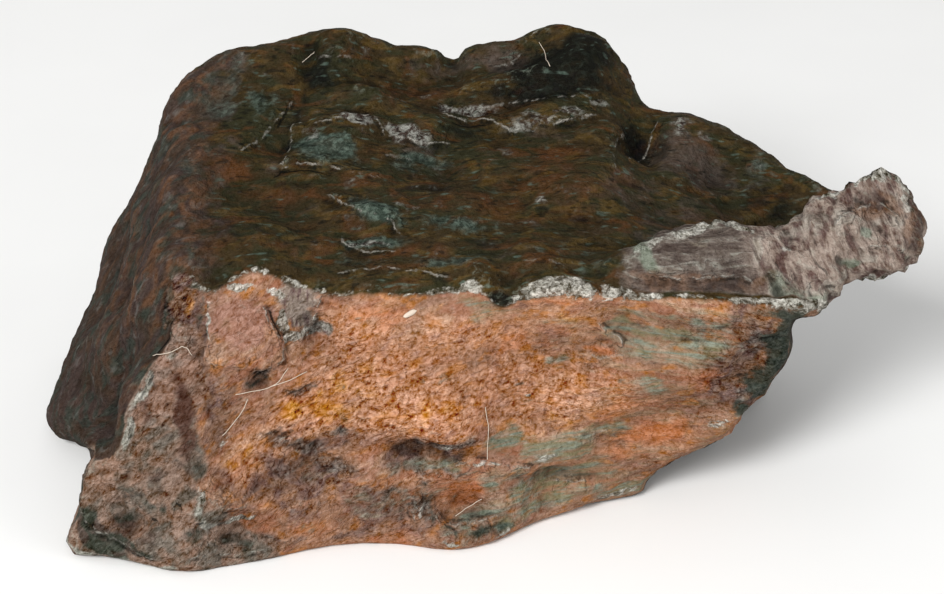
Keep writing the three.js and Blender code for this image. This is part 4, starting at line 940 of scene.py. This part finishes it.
def beside(path, u, v):
    """Signed distance to an open path, positive on its left, and a share that fades to 0 at its ends."""
    nearest = np.full_like(u, np.inf)
    signed = np.zeros_like(u)
    place = np.zeros_like(u)
    run = 0.0
    for (au, av), (bu, bv) in zip(path, path[1:]):
        du, dv = bu - au, bv - av
        length = math.hypot(du, dv)
        t = np.clip(((u - au) * du + (v - av) * dv) / length**2, 0, 1)
        square = (u - au - t * du) ** 2 + (v - av - t * dv) ** 2
        off = (du * (v - av) - dv * (u - au)) / length
        score = square - CORNER_EDGE * off * off
        closer = score < nearest
        nearest = np.where(closer, score, nearest)
        signed = np.where(closer, np.sign(off) * np.sqrt(square), signed)
        place = np.where(closer, run + t * length, place)
        run += length
    fade = min(LINE_FADE, run / 3)
    return signed, smooth(0, fade, place) * smooth(0, fade, run - place)


def noise_at(points, name):
    """One of NOISES, about -1 to 1, at points in millimetres."""
    size, octaves, shift = NOISES[name]
    spots = (points / np.array(size) + shift).tolist()
    return np.array([noise.fractal(spot, 1.0, 2.0, octaves) for spot in spots])


def crumbs(points, size, shift):
    """Rounded crumbs of that size: 0.5 in the middle of each, -0.5 in the gaps."""
    gaps = []
    for spot in (points / size + shift).tolist():
        near = noise.voronoi(spot)[0]
        gaps.append(near[1] - near[0])
    return np.clip(np.array(gaps) / CRUMB_GAP, 0, 1) ** CRUMB_ROUND - 0.5


def settle(points, passes):
    """Moves points along the slope of the field onto the stone's surface; also gives the way out there."""
    for _ in range(passes):
        here = stone(*points.T)
        slope = [(stone(*(points + SLOPE_STEP * axis).T) - here) / SLOPE_STEP for axis in np.eye(3)]
        slope = np.stack(slope, 1)
        steep = (slope * slope).sum(1)
        pull = np.clip(here / np.maximum(steep, LEAST_SLOPE), -MOST_PULL, MOST_PULL)
        points = points - pull[:, None] * slope
        points[:, 2] = np.maximum(points[:, 2], 0)
    return points, slope / np.sqrt(np.maximum(steep, 1e-6))[:, None]


def zones(points):
    """Share of each face of the stone in every point, the crust along the rim among them."""
    x, y, z = points.T
    stray = BORDER_STRAY * noise_at(points, "stray")
    outside = faces(x, y, z)
    outside["left"] = plane(LEFT_POINT, LEFT_OUT, x, y, z)
    outside["top"] = outside["top"] + along(TOP_DROP, x)
    outside["right"] = outside["right"] + stray
    share = np.stack(list(outside.values()))
    share = np.exp((share - share.max(0)) / ZONE_BLEND)
    zone = dict(zip(outside, share / share.sum(0)))

    lump = body(x, y, z)
    on_horn = smooth(*HORN_JOIN, lump - horn(x, y, z)) * smooth(*HORN_START, x)
    side = x - SLAB_SIDE * np.maximum(SLAB_SIDE_TOP - z, 0) + stray
    proud = smooth(*SLAB_JOIN, lump - foot_slab(x, y, z))
    on_slab = np.maximum(proud, zone["front"] * smooth(SLAB_TOP, SLAB_TOP - 2, z))
    on_slab *= smooth(*SLAB_SIDE_FADE, side) * (1 - on_horn)
    zone = {name: part * (1 - on_horn) * (1 - on_slab) for name, part in zone.items()}
    zone["horn"] = on_horn
    past_edge = smooth(*SLAB_EDGE_FADE, x - along(SLAB_EDGE, z))
    zone["slab"] = on_slab * (1 - past_edge)
    zone["left"] = zone["left"] + on_slab * past_edge

    apart = (outside["top"] - outside["front"]) / along(CRUST, x)
    rim = np.exp(-apart * apart) * smooth(*RIM_REACH, np.minimum(outside["top"], outside["front"]))
    zone["rim"] = rim * along(CRUST, x, 2) * (1 - on_slab)
    crest = zone["back"] * smooth(*CREST_BAND, z)
    spill = zone["top"] * LEFT_SPILL * smooth(LEFT_FADE, 0, outside["left"] + stray)
    zone["back"] = zone["back"] - crest
    zone["top"] = zone["top"] + crest - spill
    zone["left"] = zone["left"] + spill
    return zone


def across_face(axes, points):
    """The two coordinates that the rows of a table are measured in, such as "xz"."""
    return [points[:, "xyz".index(axis)] for axis in axes]


def ledge_lift(off):
    """Lift across a flake's edge: undercut before it, up in a short step, sinking slowly behind."""
    step = smooth(-LEDGE_STEP, LEDGE_STEP, off) * np.exp(-np.maximum(off, 0) / LEDGE_SINK)
    return step - LEDGE_UNDERCUT * np.exp(-(((off + LEDGE_GAP) / LEDGE_GAP_WIDTH) ** 2))


def crack_lift(off):
    """Lift across a crack, deepest in its middle."""
    return -CRACK_DEPTH * np.exp(-((off / CRACK_WIDTH) ** 2))


def draw_lines(rows, lift_across, zone, points):
    """Draws lines: how far each point lies off the nearest, how strong that is there, and the lift."""
    nearest = np.full(len(points), LINE_REACH)
    strength = np.zeros(len(points))
    lift = np.zeros(len(points))
    for face, rise, *path in rows:
        off, fade = beside(path, *across_face(FACE_AXES[face], points))
        here = fade * smooth(*LINE_ZONE, zone[face]) * rise
        lift += 0.5 * here * lift_across(off)
        window = here * smooth(LINE_REACH, 0.5 * LINE_REACH, np.abs(off))
        nearest = np.where(window > strength, off, nearest)
        strength = np.maximum(strength, window)
    return nearest, strength, lift


def step_share(rise):
    """How far along its own step each rise is, from 0 to 1."""
    return rise - np.floor(rise)


def fine_relief(points, zone, patch):
    """Lift in millimetres that gives each face its own grain."""
    x, y, z = points.T
    drift = noise_at(points, "drift")
    grains = crumbs(points, *GRAINS)
    coarse = crumbs(points, *CRUMBS)
    lift = 0.34 * noise_at(points, "swell") + 0.17 * noise_at(points, "tooth")

    step = step_share((y - 0.12 * x + 3.4 * drift) / FLAKE_PITCH)
    flakes = (1 - step) * smooth(*FLAKE_EDGE, step) - 0.4
    lift += zone["top"] * flakes * 0.8 * np.clip(0.35 + noise_at(points, "flakes"), 0, 1)
    bed = step_share((z + 0.06 * x + 1.8 * drift) / LAYER_PITCH)
    beds = bed * smooth(*LAYER_EDGE, bed) - 0.4
    layered = zone["front"] * smooth(*LAYERS_FROM, x) * (1 - patch["grainy"])
    bedded = beds * np.clip(0.3 + noise_at(points, "beds"), 0, 1)
    lift += layered * (0.24 * noise_at(points, "layers") + 0.5 * bedded)

    lift += patch["grainy"] * 0.22 * grains
    lift += sum(patch[name] * height for name, height in CRUMBLY.items()) * 0.5 * coarse
    lift += zone["rim"] * (0.25 + 0.7 * coarse + 0.3 * grains)
    lift += zone["slab"] * (0.36 * noise_at(points + 1.4 * drift[:, None], "waves") + 0.25 * coarse)
    lift += zone["left"] * 0.36 * noise_at(points @ np.array([LEFT_SEAM, LEFT_ACROSS, LEFT_OUT]).T, "seams")

    ribs = noise_at(points @ np.array([HORN_ALONG, HORN_ACROSS, HORN_DEEP]).T, "ribs")
    lift += zone["horn"] * (0.85 * ribs * smooth(*RIBS_FROM, x) + 0.15 * coarse)
    lift += zone["horn"] * (0.6 * noise_at(points, "horn") + patch["horn_crust"] * (coarse + 0.5))
    lift += (zone["back"] + zone["right"]) * 0.5 * np.minimum(noise_at(points, "back"), 0.2)
    return lift * smooth(*GROUND_FADE, z)


def bulge(points, out, edges, rounds):
    """How far each vertex stands proud of its surroundings, averaged over that many rounds."""
    count = np.bincount(edges.ravel(), minlength=len(points))[:, None]
    mean = points
    for _ in range(rounds):
        total = np.zeros_like(mean)
        for start, end in (edges.T, edges.T[::-1]):
            for axis in range(3):
                total[:, axis] += np.bincount(start, mean[end, axis], len(points))
        mean = total / count
    return ((points - mean) * out).sum(1)


class Value:
    """A number socket of a finish, used in ordinary arithmetic."""

    def __init__(self, finish, socket):
        self.finish = finish
        self.socket = socket

    def maths(self, operation, *terms):
        return self.finish.add("ShaderNodeMath", {"operation": operation}, dict(enumerate(terms)))

    def __add__(self, other):
        return self.maths("ADD", self, other)

    def __sub__(self, other):
        return self.maths("SUBTRACT", self, other)

    def __rsub__(self, other):
        return self.maths("SUBTRACT", other, self)

    def __mul__(self, other):
        return self.maths("MULTIPLY", self, other)

    def __abs__(self):
        return self.maths("ABSOLUTE", self)

    __radd__ = __add__
    __rmul__ = __mul__

    def most(self, other):
        return self.maths("MAXIMUM", self, other)

    def least(self, other):
        return self.maths("MINIMUM", self, other)

    def above(self, start, end):
        """0 up to start and 1 from end, eased between; start may be the higher."""
        flip = start > end
        sockets = {0: self, 1: min(start, end), 2: max(start, end), 3: float(flip), 4: float(not flip)}
        return self.finish.add("ShaderNodeMapRange", {"interpolation_type": "SMOOTHSTEP"}, sockets)

    def around(self, start, end):
        """From -0.5 to 0.5, eased between start and end."""
        return self.above(start, end) - 0.5


class Finish:
    """A material whose nodes are added one by one."""

    def __init__(self, name):
        self.material = bpy.data.materials.new(name)
        self.material.use_nodes = True
        self.tree = self.material.node_tree
        self.tree.nodes.clear()

    def add(self, kind, settings, sockets, out=0):
        """Adds a node, sets it up, gives its sockets values or links, and returns its output."""
        made = self.tree.nodes.new(kind)
        for name, value in settings.items():
            setattr(made, name, value)
        for key, value in sockets.items():
            found = self.find(made.inputs, key)
            if isinstance(value, Value):
                self.tree.links.new(value.socket, found)
            else:
                found.default_value = value
        return Value(self, self.find(made.outputs, out)) if made.outputs else None

    @staticmethod
    def find(sockets, key):
        """A socket by its number or its identifier."""
        return sockets[key] if isinstance(key, int) else next(s for s in sockets if s.identifier == key)

    def vector(self, operation, first, second, out=0):
        """Vector Math on two places, colours or directions."""
        return self.add("ShaderNodeVectorMath", {"operation": operation}, {0: first, 1: second}, out)

    def joined(self, *parts):
        """Three numbers as one place or colour."""
        return self.add("ShaderNodeCombineXYZ", {}, dict(enumerate(parts)))

    def places(self):
        """Object coordinates in millimetres."""
        return self.stretch(self.add("ShaderNodeTexCoord", {}, {}, "Object"), (1 / MM, 1 / MM, 1 / MM))

    def share(self, name):
        """A value painted on the mesh."""
        return self.add("ShaderNodeAttribute", {"attribute_name": name}, {}, "Fac")

    def stretch(self, places, factors):
        return self.vector("MULTIPLY", places, factors)

    def along(self, places, axis):
        """How far a place lies along a direction."""
        return self.vector("DOT_PRODUCT", places, axis, "Value")

    def turned(self, places, axes, sizes):
        """Places measured along three directions, each divided by its size."""
        shares = ([part / size for part in axis] for axis, size in zip(axes, sizes))
        return self.joined(*(self.along(places, share) for share in shares))

    def mottle(self, places, size, detail=3.0, rough=0.55, swirl=0.0):
        """Noise of about 0 to 1 with blotches of that size."""
        sockets = {"Vector": places, "Scale": 1 / size}
        sockets.update(Detail=detail, Roughness=rough, Distortion=swirl)
        return self.add("ShaderNodeTexNoise", {}, sockets)

    def grains(self, places, size):
        """Grains of that size: how far a place lies from the middle of its own."""
        return self.add("ShaderNodeTexVoronoi", {}, {"Vector": places, "Scale": 1 / size}, "Distance")

    def mix(self, share, first, second):
        """A colour between two."""
        sockets = {"Factor_Float": share, "A_Color": first, "B_Color": second}
        return self.add("ShaderNodeMix", {"data_type": "RGBA"}, sockets, "Result_Color")

    def scaled(self, colour, factor):
        """A colour made lighter or darker."""
        return self.add("ShaderNodeVectorMath", {"operation": "SCALE"}, {0: colour, "Scale": factor})

    def close(self, colour, roughness, height, specular):
        """Ends the finish in its shader; the height is in millimetres."""
        normal = self.add("ShaderNodeBump", {}, {"Strength": 1.0, "Distance": MM, "Height": height})
        sockets = {"Base Color": colour, "Roughness": roughness, "Normal": normal}
        sockets["Specular IOR Level"] = specular
        shader = self.add("ShaderNodeBsdfPrincipled", {}, sockets)
        self.add("ShaderNodeOutputMaterial", {}, {"Surface": shader})
        return self.material


class StoneFinish(Finish):
    """The stone's crust: each face's own rust, film and crust, mixed by the shares painted on its mesh.

    Hues change softly, over a millimetre or more.
    Light and dark, partly painted light and shade, change sharply, in grains, crumbs and flecks.
    """

    def __init__(self, colours):
        super().__init__("weathered_crust")
        self.hue = {name: (*getattr(colours, name), 1.0) for name in COLOURS}
        here = self.places()
        self.across, deep, self.up = (self.along(here, axis) for axis in np.eye(3).tolist())
        bed = self.up - self.across * BED_RISE + self.across * self.across * BED_BEND
        beds = self.joined(self.across, deep, bed)
        ways = {
            "here": here,
            "beds": beds,
            "down": self.turned(here, (LEFT_SEAM, LEFT_ACROSS, LEFT_OUT), DOWN_SIZES),
            "ribbed": self.turned(here, (HORN_ALONG, HORN_ACROSS, HORN_DEEP), RIB_SIZES),
        }
        for name, (way, factors, *mottle) in MOTTLES.items():
            places = self.stretch(ways[way], factors) if factors else ways[way]
            setattr(self, name, self.mottle(places, *mottle))

        # Grains and crumbs, pushed about by the finer noises, and a web of fine dark lines.
        pushed = self.joined(self.fine * 1.2, self.dust * 0.8, self.layers * 1.2)
        pushed = self.vector("ADD", self.stretch(beds, (0.75, 0.9, 1.0)), pushed)
        self.crumb = 0.42 - self.grains(pushed, GRAIN_SIZE)
        self.lump = 0.42 - self.grains(pushed, LUMP_SIZE)
        self.web = abs(self.webbing - 0.5).above(0.0, 0.07)

        # What tears the borders, and where things lie: zones of a face, crust, edges of flakes, and cracks.
        fine = self.fine - 0.5
        self.ragged = (self.patchy - 0.5) * 1.4 + (self.layers - 0.5) * 0.8 + fine * 0.25
        broken_up = self.ragged * 1.6 + fine * 1.4 + 1
        self.right = (self.across + self.ragged * 8).above(*FRONT_RIGHT)
        self.far = (self.across + self.ragged * 4).above(*HORN_FROM)
        self.raised = self.up + self.ragged * 4
        self.higher = self.up.above(*LEFT_RUSTY) * 0.7 + 0.1
        self.film = self.threads.above(0.38, 0.58) * 0.45 + 0.5
        self.on = {name: self.share(name) for name in SHARES}
        self.rim = (self.on["rim"] * broken_up).above(0.4, 0.64)
        self.pale = (self.on["pale"] * broken_up).above(0.42, 0.66)
        self.ridge = (self.on["horn_crust"] * broken_up + self.lump * 0.6).above(0.3, 0.55)
        self.off = self.on["ledge"] + fine * 0.9 + (self.patchy - 0.5) * 0.8
        self.edge = self.on["ledge_on"].above(0.1, 0.7) * self.breaks.above(0.44, 0.6)
        opened = abs(self.on["crack"] + fine * 0.6).above(0.17, 0.04)
        self.crack = self.on["crack_on"].above(0.05, 0.35) * opened
        coarse = self.on["char"].most(self.on["dull"] * 0.6).most(self.rim * 0.6).most(self.pale * 0.6)
        self.coarse = coarse.most(self.ridge * 0.8).least(1.0)
        self.crumbly = self.on["grainy"].most(self.on["ochre"]).most(self.coarse)
        harsh = self.crumbly * 0.4 + self.coarse * 0.4 + self.on["slab"] * 0.35 + 0.62
        self.harsh = harsh - self.on["green"] * 0.3

        horn = self.mix(self.ribs.above(0.56, 0.36) * 0.85, "horn_pink", "mauve")
        self.hue["horn"] = self.mix(self.patchy.above(0.5, 0.66) * 0.35, horn, "pale")

    def faded(self, name, fade):
        """A noise by its name, or after "on" a painted patch with a ragged edge, faded in."""
        value = self.share(name[3:]) + self.ragged if name.startswith("on ") else getattr(self, name)
        return value.above(*fade) if fade else value

    def tone(self, colour):
        """A colour, one by its name, or two mottled by a noise."""
        if isinstance(colour, str):
            return self.hue[colour]
        if isinstance(colour, Value):
            return colour
        name, fade, low, high, *strength = colour
        share = self.faded(name, fade)
        return self.mix(share * strength[0] if strength else share, low, high)

    def mix(self, share, first, second):
        return super().mix(share, self.tone(first), self.tone(second))

    def layered(self, face):
        """The ground of a face, and the layers laid on it one after the other."""
        tone, *layers = FACES[face]
        for name, fade, strengths, colour in layers:
            share = self.faded(name, fade)
            for strength in strengths:
                share = share * (getattr(self, strength) if isinstance(strength, str) else strength)
            tone = self.mix(share, tone, colour)
        return tone

    def joined_faces(self):
        """All faces, each with a ragged border."""
        tone = self.layered("front")
        for face in ("top", "left", "back", "slab", "horn"):
            there = (self.share(face) + self.ragged * 0.35).above(0.15, 0.5)
            tone = self.mix(there, tone, self.layered(face))
        return tone

    def crusted(self, tone):
        """Crust along the rim and in pale patches; worn edges lighter, partly as a painted highlight; painted
        shade in creases and hollows.
        """
        crust = self.mix(self.fine.above(0.36, 0.62), "crust", "crust_white")
        tone = self.mix(self.rim.most(self.pale) * 0.85, tone, crust)
        worn_glint_and_crease_shade = self.share("edge")
        tone = self.mix(worn_glint_and_crease_shade.above(0.06, 0.3) * self.fine.above(0.5, 0.64) * 0.3, tone, "grey_green")
        tone = self.scaled(tone, worn_glint_and_crease_shade.above(-0.3, -0.04) * 0.6 + 0.4)
        return self.scaled(tone, self.share("hollow").above(-1.6, 0.8) * 0.56 + 0.64)

    def lined(self, tone):
        """Painted highlights along flakes' edges with painted shadows under them, and painted shade in
        cracks.
        """
        tone = self.mix(self.edge * abs(self.off + 0.32).above(0.3, 0.08) * 0.7, tone, "black")
        tone = self.mix(self.edge * abs(self.off - 0.08).above(0.2, 0.05) * 0.55, tone, "crust_white")
        return self.mix(self.crack * 0.8, tone, "black")

    def shade(self):
        """Light and dark around 0, partly painted light and shade: grains, crumbs with painted shade in their
        gaps, the web, bright flecks as painted highlights, ribs and waves.
        """
        on = self.on
        shade = self.fine.around(0.3, 0.7) * 0.7 + self.dust.around(0.28, 0.72) * 0.55
        shade = shade + self.crumb * (self.crumbly * 0.55 + on["ochre"] * 0.3 + 0.35)
        shade = shade + self.lump * self.coarse * 0.5 + self.flecks.above(0.58, 0.68) * 0.35
        shade = shade - (1 - self.web) * (0.34 - on["top"].most(on["horn"]) * 0.26)
        shade = shade + self.ribs.around(0.35, 0.65) * on["horn"] * self.far * 1.1
        shade = shade + self.waves.around(0.35, 0.65) * on["slab"] * 0.5
        shade = shade + self.seams.around(0.35, 0.65) * on["left"] * 0.3
        shade = shade + self.layers.around(0.35, 0.65) * self.right * 0.3 * (1 - on["top"])
        return shade * self.harsh

    def shaded(self, tone, shade):
        """A tone made lighter and darker by a shade, and a little greyer where it is lighter."""
        grey = self.along(tone, (0.33, 0.33, 0.33)) * shade * 0.5
        tone = self.scaled(tone, (shade * 0.5 + 1.03).most(0.2))
        tone = self.vector("ADD", tone, self.joined(grey, grey, grey))
        return self.vector("MAXIMUM", tone, (0.002, 0.002, 0.002))

    def height(self):
        """The relief that is too fine for the mesh, in millimetres."""
        on = self.on
        height = self.fine * 0.3 + self.patchy * 0.4
        height = height + (self.dust * 0.12 + self.web * 0.1 + self.crumb * 0.25) * self.harsh
        height = height + self.lump * self.coarse * 0.4 + self.layers * self.right * 0.2 * (1 - on["top"])
        height = height + self.ribs * on["horn"] * self.far * 0.9
        height = height + self.lines * on["horn"] * (1 - self.far) * 0.7
        height = height + self.seams * on["left"] * 0.3 + self.waves * on["slab"] * 0.45
        return height + self.edge * self.off.above(-0.12, 0.12) * 0.35 - self.crack * 0.3

    def finished(self):
        """The whole finish as a material."""
        tone = self.shaded(self.lined(self.crusted(self.joined_faces())), self.shade())
        roughness = 0.82 - self.on["top"] * 0.2 + (self.fine - 0.5) * 0.3 - self.on["green"] * 0.15
        return self.close(tone, roughness, self.height(), STONE_SPECULAR)


def matte_finish(name, colour, roughness, grain):
    """A plain matte finish with a faint mottle."""
    finish = Finish(name)
    here = finish.places()
    tone = finish.scaled(tuple(colour), finish.mottle(here, grain) * 0.1 + 0.95)
    return finish.close(tone, roughness, finish.mottle(here, grain / 4) * 0.02, 0.2)


def srgb(red, green, blue):
    """A colour picked on screen, 0 to 255, as the shader's linear red, green and blue."""
    parts = (part / 255 for part in (red, green, blue))
    return tuple(part / 12.92 if part <= 0.04045 else ((part + 0.055) / 1.055) ** 2.4 for part in parts)


class StoneColours(bpy.types.PropertyGroup):
    """The colours of the stone's crust."""

    __annotations__ = {
        name: bpy.props.FloatVectorProperty(
            name=name.replace("_", " ").capitalize(),
            description=words,
            subtype="COLOR",
            min=0.0,
            max=1.0,
            default=srgb(*picked),
        )
        for name, (words, picked) in COLOURS.items()
    }


class StoneSizes(bpy.types.PropertyGroup):
    """The sizes of the stone's fine relief and of the lint on it."""

    cuts: bpy.props.IntProperty(
        name="Cuts", description="New points along each edge of the solid's mesh", default=3, min=0, max=3
    )
    relief: bpy.props.FloatProperty(
        name="Fine relief", description="Strength of the fine relief", default=1.0, min=0.0, max=2.0
    )
    lint: bpy.props.FloatProperty(
        name="Lint", description="Thickness of a lint hair", default=0.0001, min=0.00002, unit="LENGTH"
    )


class StageLight(bpy.types.PropertyGroup):
    """The stage's light and floor."""

    key: bpy.props.FloatProperty(
        name="Key light", description="Power of the key light in watts", default=10.0, min=0.0
    )
    fill: bpy.props.FloatProperty(
        name="Fill light", description="Power of the fill light in watts", default=2.0, min=0.0
    )
    sky: bpy.props.FloatProperty(
        name="Surroundings", description="Strength of the plain surroundings", default=0.5, min=0.0
    )
    floor: bpy.props.FloatVectorProperty(
        name="Floor",
        description="Colour of the floor",
        subtype="COLOR",
        min=0.0,
        max=1.0,
        default=(0.86, 0.86, 0.85),
    )


def link_piece(data, name):
    """A new object at the origin for a finished mesh, a lamp or a camera."""
    piece = bpy.data.objects.new(name, data)
    bpy.context.scene.collection.objects.link(piece)
    return piece


def finished_mesh(shell, name):
    """A bmesh as a mesh; the bmesh is freed."""
    mesh = bpy.data.meshes.new(name)
    shell.to_mesh(mesh)
    shell.free()
    return mesh


def finer_copy(solid, cuts):
    """A copy of the solid's mesh, merged and cut into smaller triangles."""
    shell = bmesh.new()
    shell.from_mesh(solid)
    bmesh.ops.remove_doubles(shell, verts=shell.verts, dist=MERGE)
    bmesh.ops.subdivide_edges(shell, edges=shell.edges, cuts=cuts, use_grid_fill=True)
    bmesh.ops.triangulate(shell, faces=shell.faces)
    return finished_mesh(shell, "meteorite_crust")


def numbers(rows, name, width, kind):
    """One value of every vertex or edge, as an array with that many columns."""
    values = np.empty(len(rows) * width, kind)
    rows.foreach_get(name, values)
    return values.reshape(-1, width)


class METEORITE_OT_dress_stone(bpy.types.Operator):
    """Dresses the stone: fine mesh on its field, fine relief, painted shares and crust."""

    bl_idname = "meteorite.dress_stone"
    bl_label = "Dress the stone"

    def execute(self, context):
        sizes = context.scene.stone_sizes
        mesh = finer_copy(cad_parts["meteorite"].data, sizes.cuts)
        points = numbers(mesh.vertices, "co", 3, float) / MM - DATUM_SHIFT
        points, out = settle(points, SETTLE_PASSES)
        zone = zones(points)
        stray = [reach * noise_at(points, name) for name, reach in WANDER.items()]
        paint = {}
        for face, axes, patches in PATCHES:
            places = [place + off for place, off in zip(across_face(axes, points), stray)]
            for name, rows in patches.items():
                paint[name] = blot(rows, *places) * smooth(*PATCH_ZONE, zone[face])
        lift = fine_relief(points, zone, paint)
        for name, rows, lift_across in (("ledge", LEDGES, ledge_lift), ("crack", CRACKS, crack_lift)):
            paint[name], paint[name + "_on"], drawn = draw_lines(rows, lift_across, zone, points)
            lift += drawn
        points = points + (lift * sizes.relief)[:, None] * out
        points[:, 2] = np.maximum(points[:, 2], 0)

        edges = numbers(mesh.edges, "vertices", 2, int)
        # Convexity for worn edges with a painted highlight, and concavity for painted shade in hollows.
        paint["edge"] = bulge(points, out, edges, EDGE_ROUNDS)
        paint["hollow"] = bulge(points, out, edges, HOLLOW_ROUNDS)
        paint["back"] = zone["back"] + zone["right"] + zone["under"]
        paint.update((name, zone[name]) for name in ("top", "left", "slab", "horn", "rim"))
        mesh.vertices.foreach_set("co", ((points + DATUM_SHIFT) * MM).ravel())
        for name, values in paint.items():
            mesh.attributes.new(name, "FLOAT", "POINT").data.foreach_set("value", values.astype(np.float32))
        mesh.shade_smooth()
        mesh.update()
        mesh.materials.append(StoneFinish(context.scene.stone_colours).finished())
        crust = link_piece(mesh, "meteorite_crust")
        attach(crust, "root")
        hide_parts("meteorite")
        return {"FINISHED"}


def on_stone(tree, place, rise):
    """The place on the stone nearest to one in the tables, lifted off it, and the way out there."""
    spot, way, _, _ = tree.find_nearest((Vector(place) + Vector(DATUM)) * MM)
    return spot + way * rise, way


def turn(lint, verts, matrix):
    bmesh.ops.rotate(lint, verts=verts, cent=(0, 0, 0), matrix=matrix)


def lay_hair(lint, tree, hair, half):
    """One hair: a thin tube along a smooth run of points that lie on the stone."""
    rows = [[i, *place] for i, place in enumerate(hair)]
    count = HAIR_STEPS * (len(hair) - 1)
    runs = [i * (len(hair) - 1) / count for i in range(count + 1)]
    places = np.stack([along(rows, runs, column) for column in (1, 2, 3)], 1)
    spots = [on_stone(tree, place, half * HAIR_RISE)[0] for place in places.tolist()]
    rings = []
    for i, spot in enumerate(spots):
        heading = (spots[min(i + 1, count)] - spots[max(i - 1, 0)]).normalized()
        ring = bmesh.ops.create_circle(lint, cap_ends=i in (0, count), segments=5, radius=half)["verts"]
        turn(lint, ring, heading.to_track_quat("Z", "Y").to_matrix())
        bmesh.ops.translate(lint, verts=ring, vec=spot)
        rings.append(ring)
    for pair in zip(rings, rings[1:]):
        touching = {(edge, i) for i, ring in enumerate(pair) for vert in ring for edge in vert.link_edges}
        edges = [edge for edge, i in touching if set(edge.verts) <= set(pair[i])]
        bmesh.ops.bridge_loops(lint, edges=edges)
    tube = {face for ring in rings for vert in ring for face in vert.link_faces}
    bmesh.ops.recalc_face_normals(lint, faces=list(tube))


def lay_chip(lint, tree):
    """The white chip: small, rough and lying on the front."""
    spot, way = on_stone(tree, CHIP, CHIP_RISE * MM)
    chip = bmesh.ops.create_icosphere(lint, subdivisions=3, radius=0.5)["verts"]
    for vert in chip:
        vert.co *= 1 + CHIP_ROUGH * noise.noise(vert.co * CHIP_LUMPS)
    bmesh.ops.scale(lint, verts=chip, vec=Vector(CHIP_SIZE) * MM)
    turn(lint, chip, Matrix.Rotation(CHIP_TURN, 3, "Z"))
    turn(lint, chip, way.to_track_quat("Z", "Y").to_matrix())
    bmesh.ops.translate(lint, verts=chip, vec=spot)


class METEORITE_OT_lay_lint(bpy.types.Operator):
    """Lays the lint hairs and the white chip on the stone."""

    bl_idname = "meteorite.lay_lint"
    bl_label = "Lay the lint"

    def execute(self, context):
        crust = bpy.data.objects["meteorite_crust"].data
        faces_of = [tuple(face.vertices) for face in crust.polygons]
        tree = BVHTree.FromPolygons([vert.co for vert in crust.vertices], faces_of)
        lint = bmesh.new()
        for hair in HAIRS:
            lay_hair(lint, tree, hair, context.scene.stone_sizes.lint / 2)
        lay_chip(lint, tree)
        mesh = finished_mesh(lint, "lint")
        mesh.shade_smooth()
        mesh.materials.append(matte_finish("lint_fibre", srgb(*LINT_TONE), 0.7, 0.8))
        piece = link_piece(mesh, "lint")
        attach(piece, "root")
        return {"FINISHED"}


def aim(thing, place, target):
    thing.location = place
    thing.rotation_euler = (target - place).to_track_quat("-Z", "Y").to_euler()


class METEORITE_OT_set_stage(bpy.types.Operator):
    """Sets the stage: pale floor, soft light and the camera."""

    bl_idname = "meteorite.set_stage"
    bl_label = "Set the stage"

    def execute(self, context):
        scene = context.scene
        light = scene.stage_light
        ground = bmesh.new()
        bmesh.ops.create_grid(ground, x_segments=4, y_segments=4, size=FLOOR_SIZE)
        mesh = finished_mesh(ground, "floor")
        mesh.materials.append(matte_finish("pale_floor", light.floor, 0.9, 60.0))
        link_piece(mesh, "floor")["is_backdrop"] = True

        world = bpy.data.worlds.new("plain_surroundings")
        world.use_nodes = True
        surroundings = world.node_tree.nodes["Background"].inputs
        surroundings["Color"].default_value = (1.0, 1.0, 1.0, 1.0)
        surroundings["Strength"].default_value = light.sky
        scene.world = world
        scene.view_settings.view_transform = "Standard"

        target = (Vector(SIGHT_TARGET) + Vector(DATUM)) * MM
        for name, (place, size) in LAMPS.items():
            lamp = bpy.data.lights.new(name, "AREA")
            lamp.size = size
            lamp.energy = getattr(light, name)
            aim(link_piece(lamp, name), Vector(place), target)

        lens = bpy.data.cameras.new("camera")
        lens.sensor_fit = "HORIZONTAL"
        lens.lens = lens.sensor_width * SIGHT_RANGE / (FRAME_WIDTH * FRAME_SCALE)
        lens.clip_start = 0.01
        reach = SIGHT_RANGE * MM
        back = Vector((0, -reach * math.cos(SIGHT_TILT), reach * math.sin(SIGHT_TILT)))
        scene.camera = link_piece(lens, "camera")
        aim(scene.camera, target + back, target)
        return {"FINISHED"}


class METEORITE_PT_panel(bpy.types.Panel):
    """Lists the steps and settings of the meteorite."""

    bl_idname = "METEORITE_PT_panel"
    bl_label = "Meteorite"
    bl_space_type = "VIEW_3D"
    bl_region_type = "UI"
    bl_category = "Meteorite"

    def draw(self, context):
        for step in STEPS:
            self.layout.operator(step.bl_idname)
        for group in GROUPS:
            settings = getattr(context.scene, group)
            for name in type(settings).__annotations__:
                self.layout.prop(settings, name)


STEPS = (METEORITE_OT_set_stage, METEORITE_OT_dress_stone, METEORITE_OT_lay_lint)
GROUPS = {"stone_sizes": StoneSizes, "stage_light": StageLight, "stone_colours": StoneColours}


def register():
    for made in (*GROUPS.values(), *STEPS, METEORITE_PT_panel):
        bpy.utils.register_class(made)
    for name, group in GROUPS.items():
        setattr(bpy.types.Scene, name, bpy.props.PointerProperty(type=group))


def unregister():
    for name in GROUPS:
        delattr(bpy.types.Scene, name)
    for made in reversed((*GROUPS.values(), *STEPS, METEORITE_PT_panel)):
        bpy.utils.unregister_class(made)


def main():
    register()
    bpy.ops.meteorite.set_stage()
    bpy.ops.meteorite.dress_stone()
    bpy.ops.meteorite.lay_lint()
    boxes = {"cad": CAD_BOX, "visual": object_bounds()}
    {name: [list(corner) for corner in box] for name, box in boxes.items()}


if __name__ == "__main__":
    main()
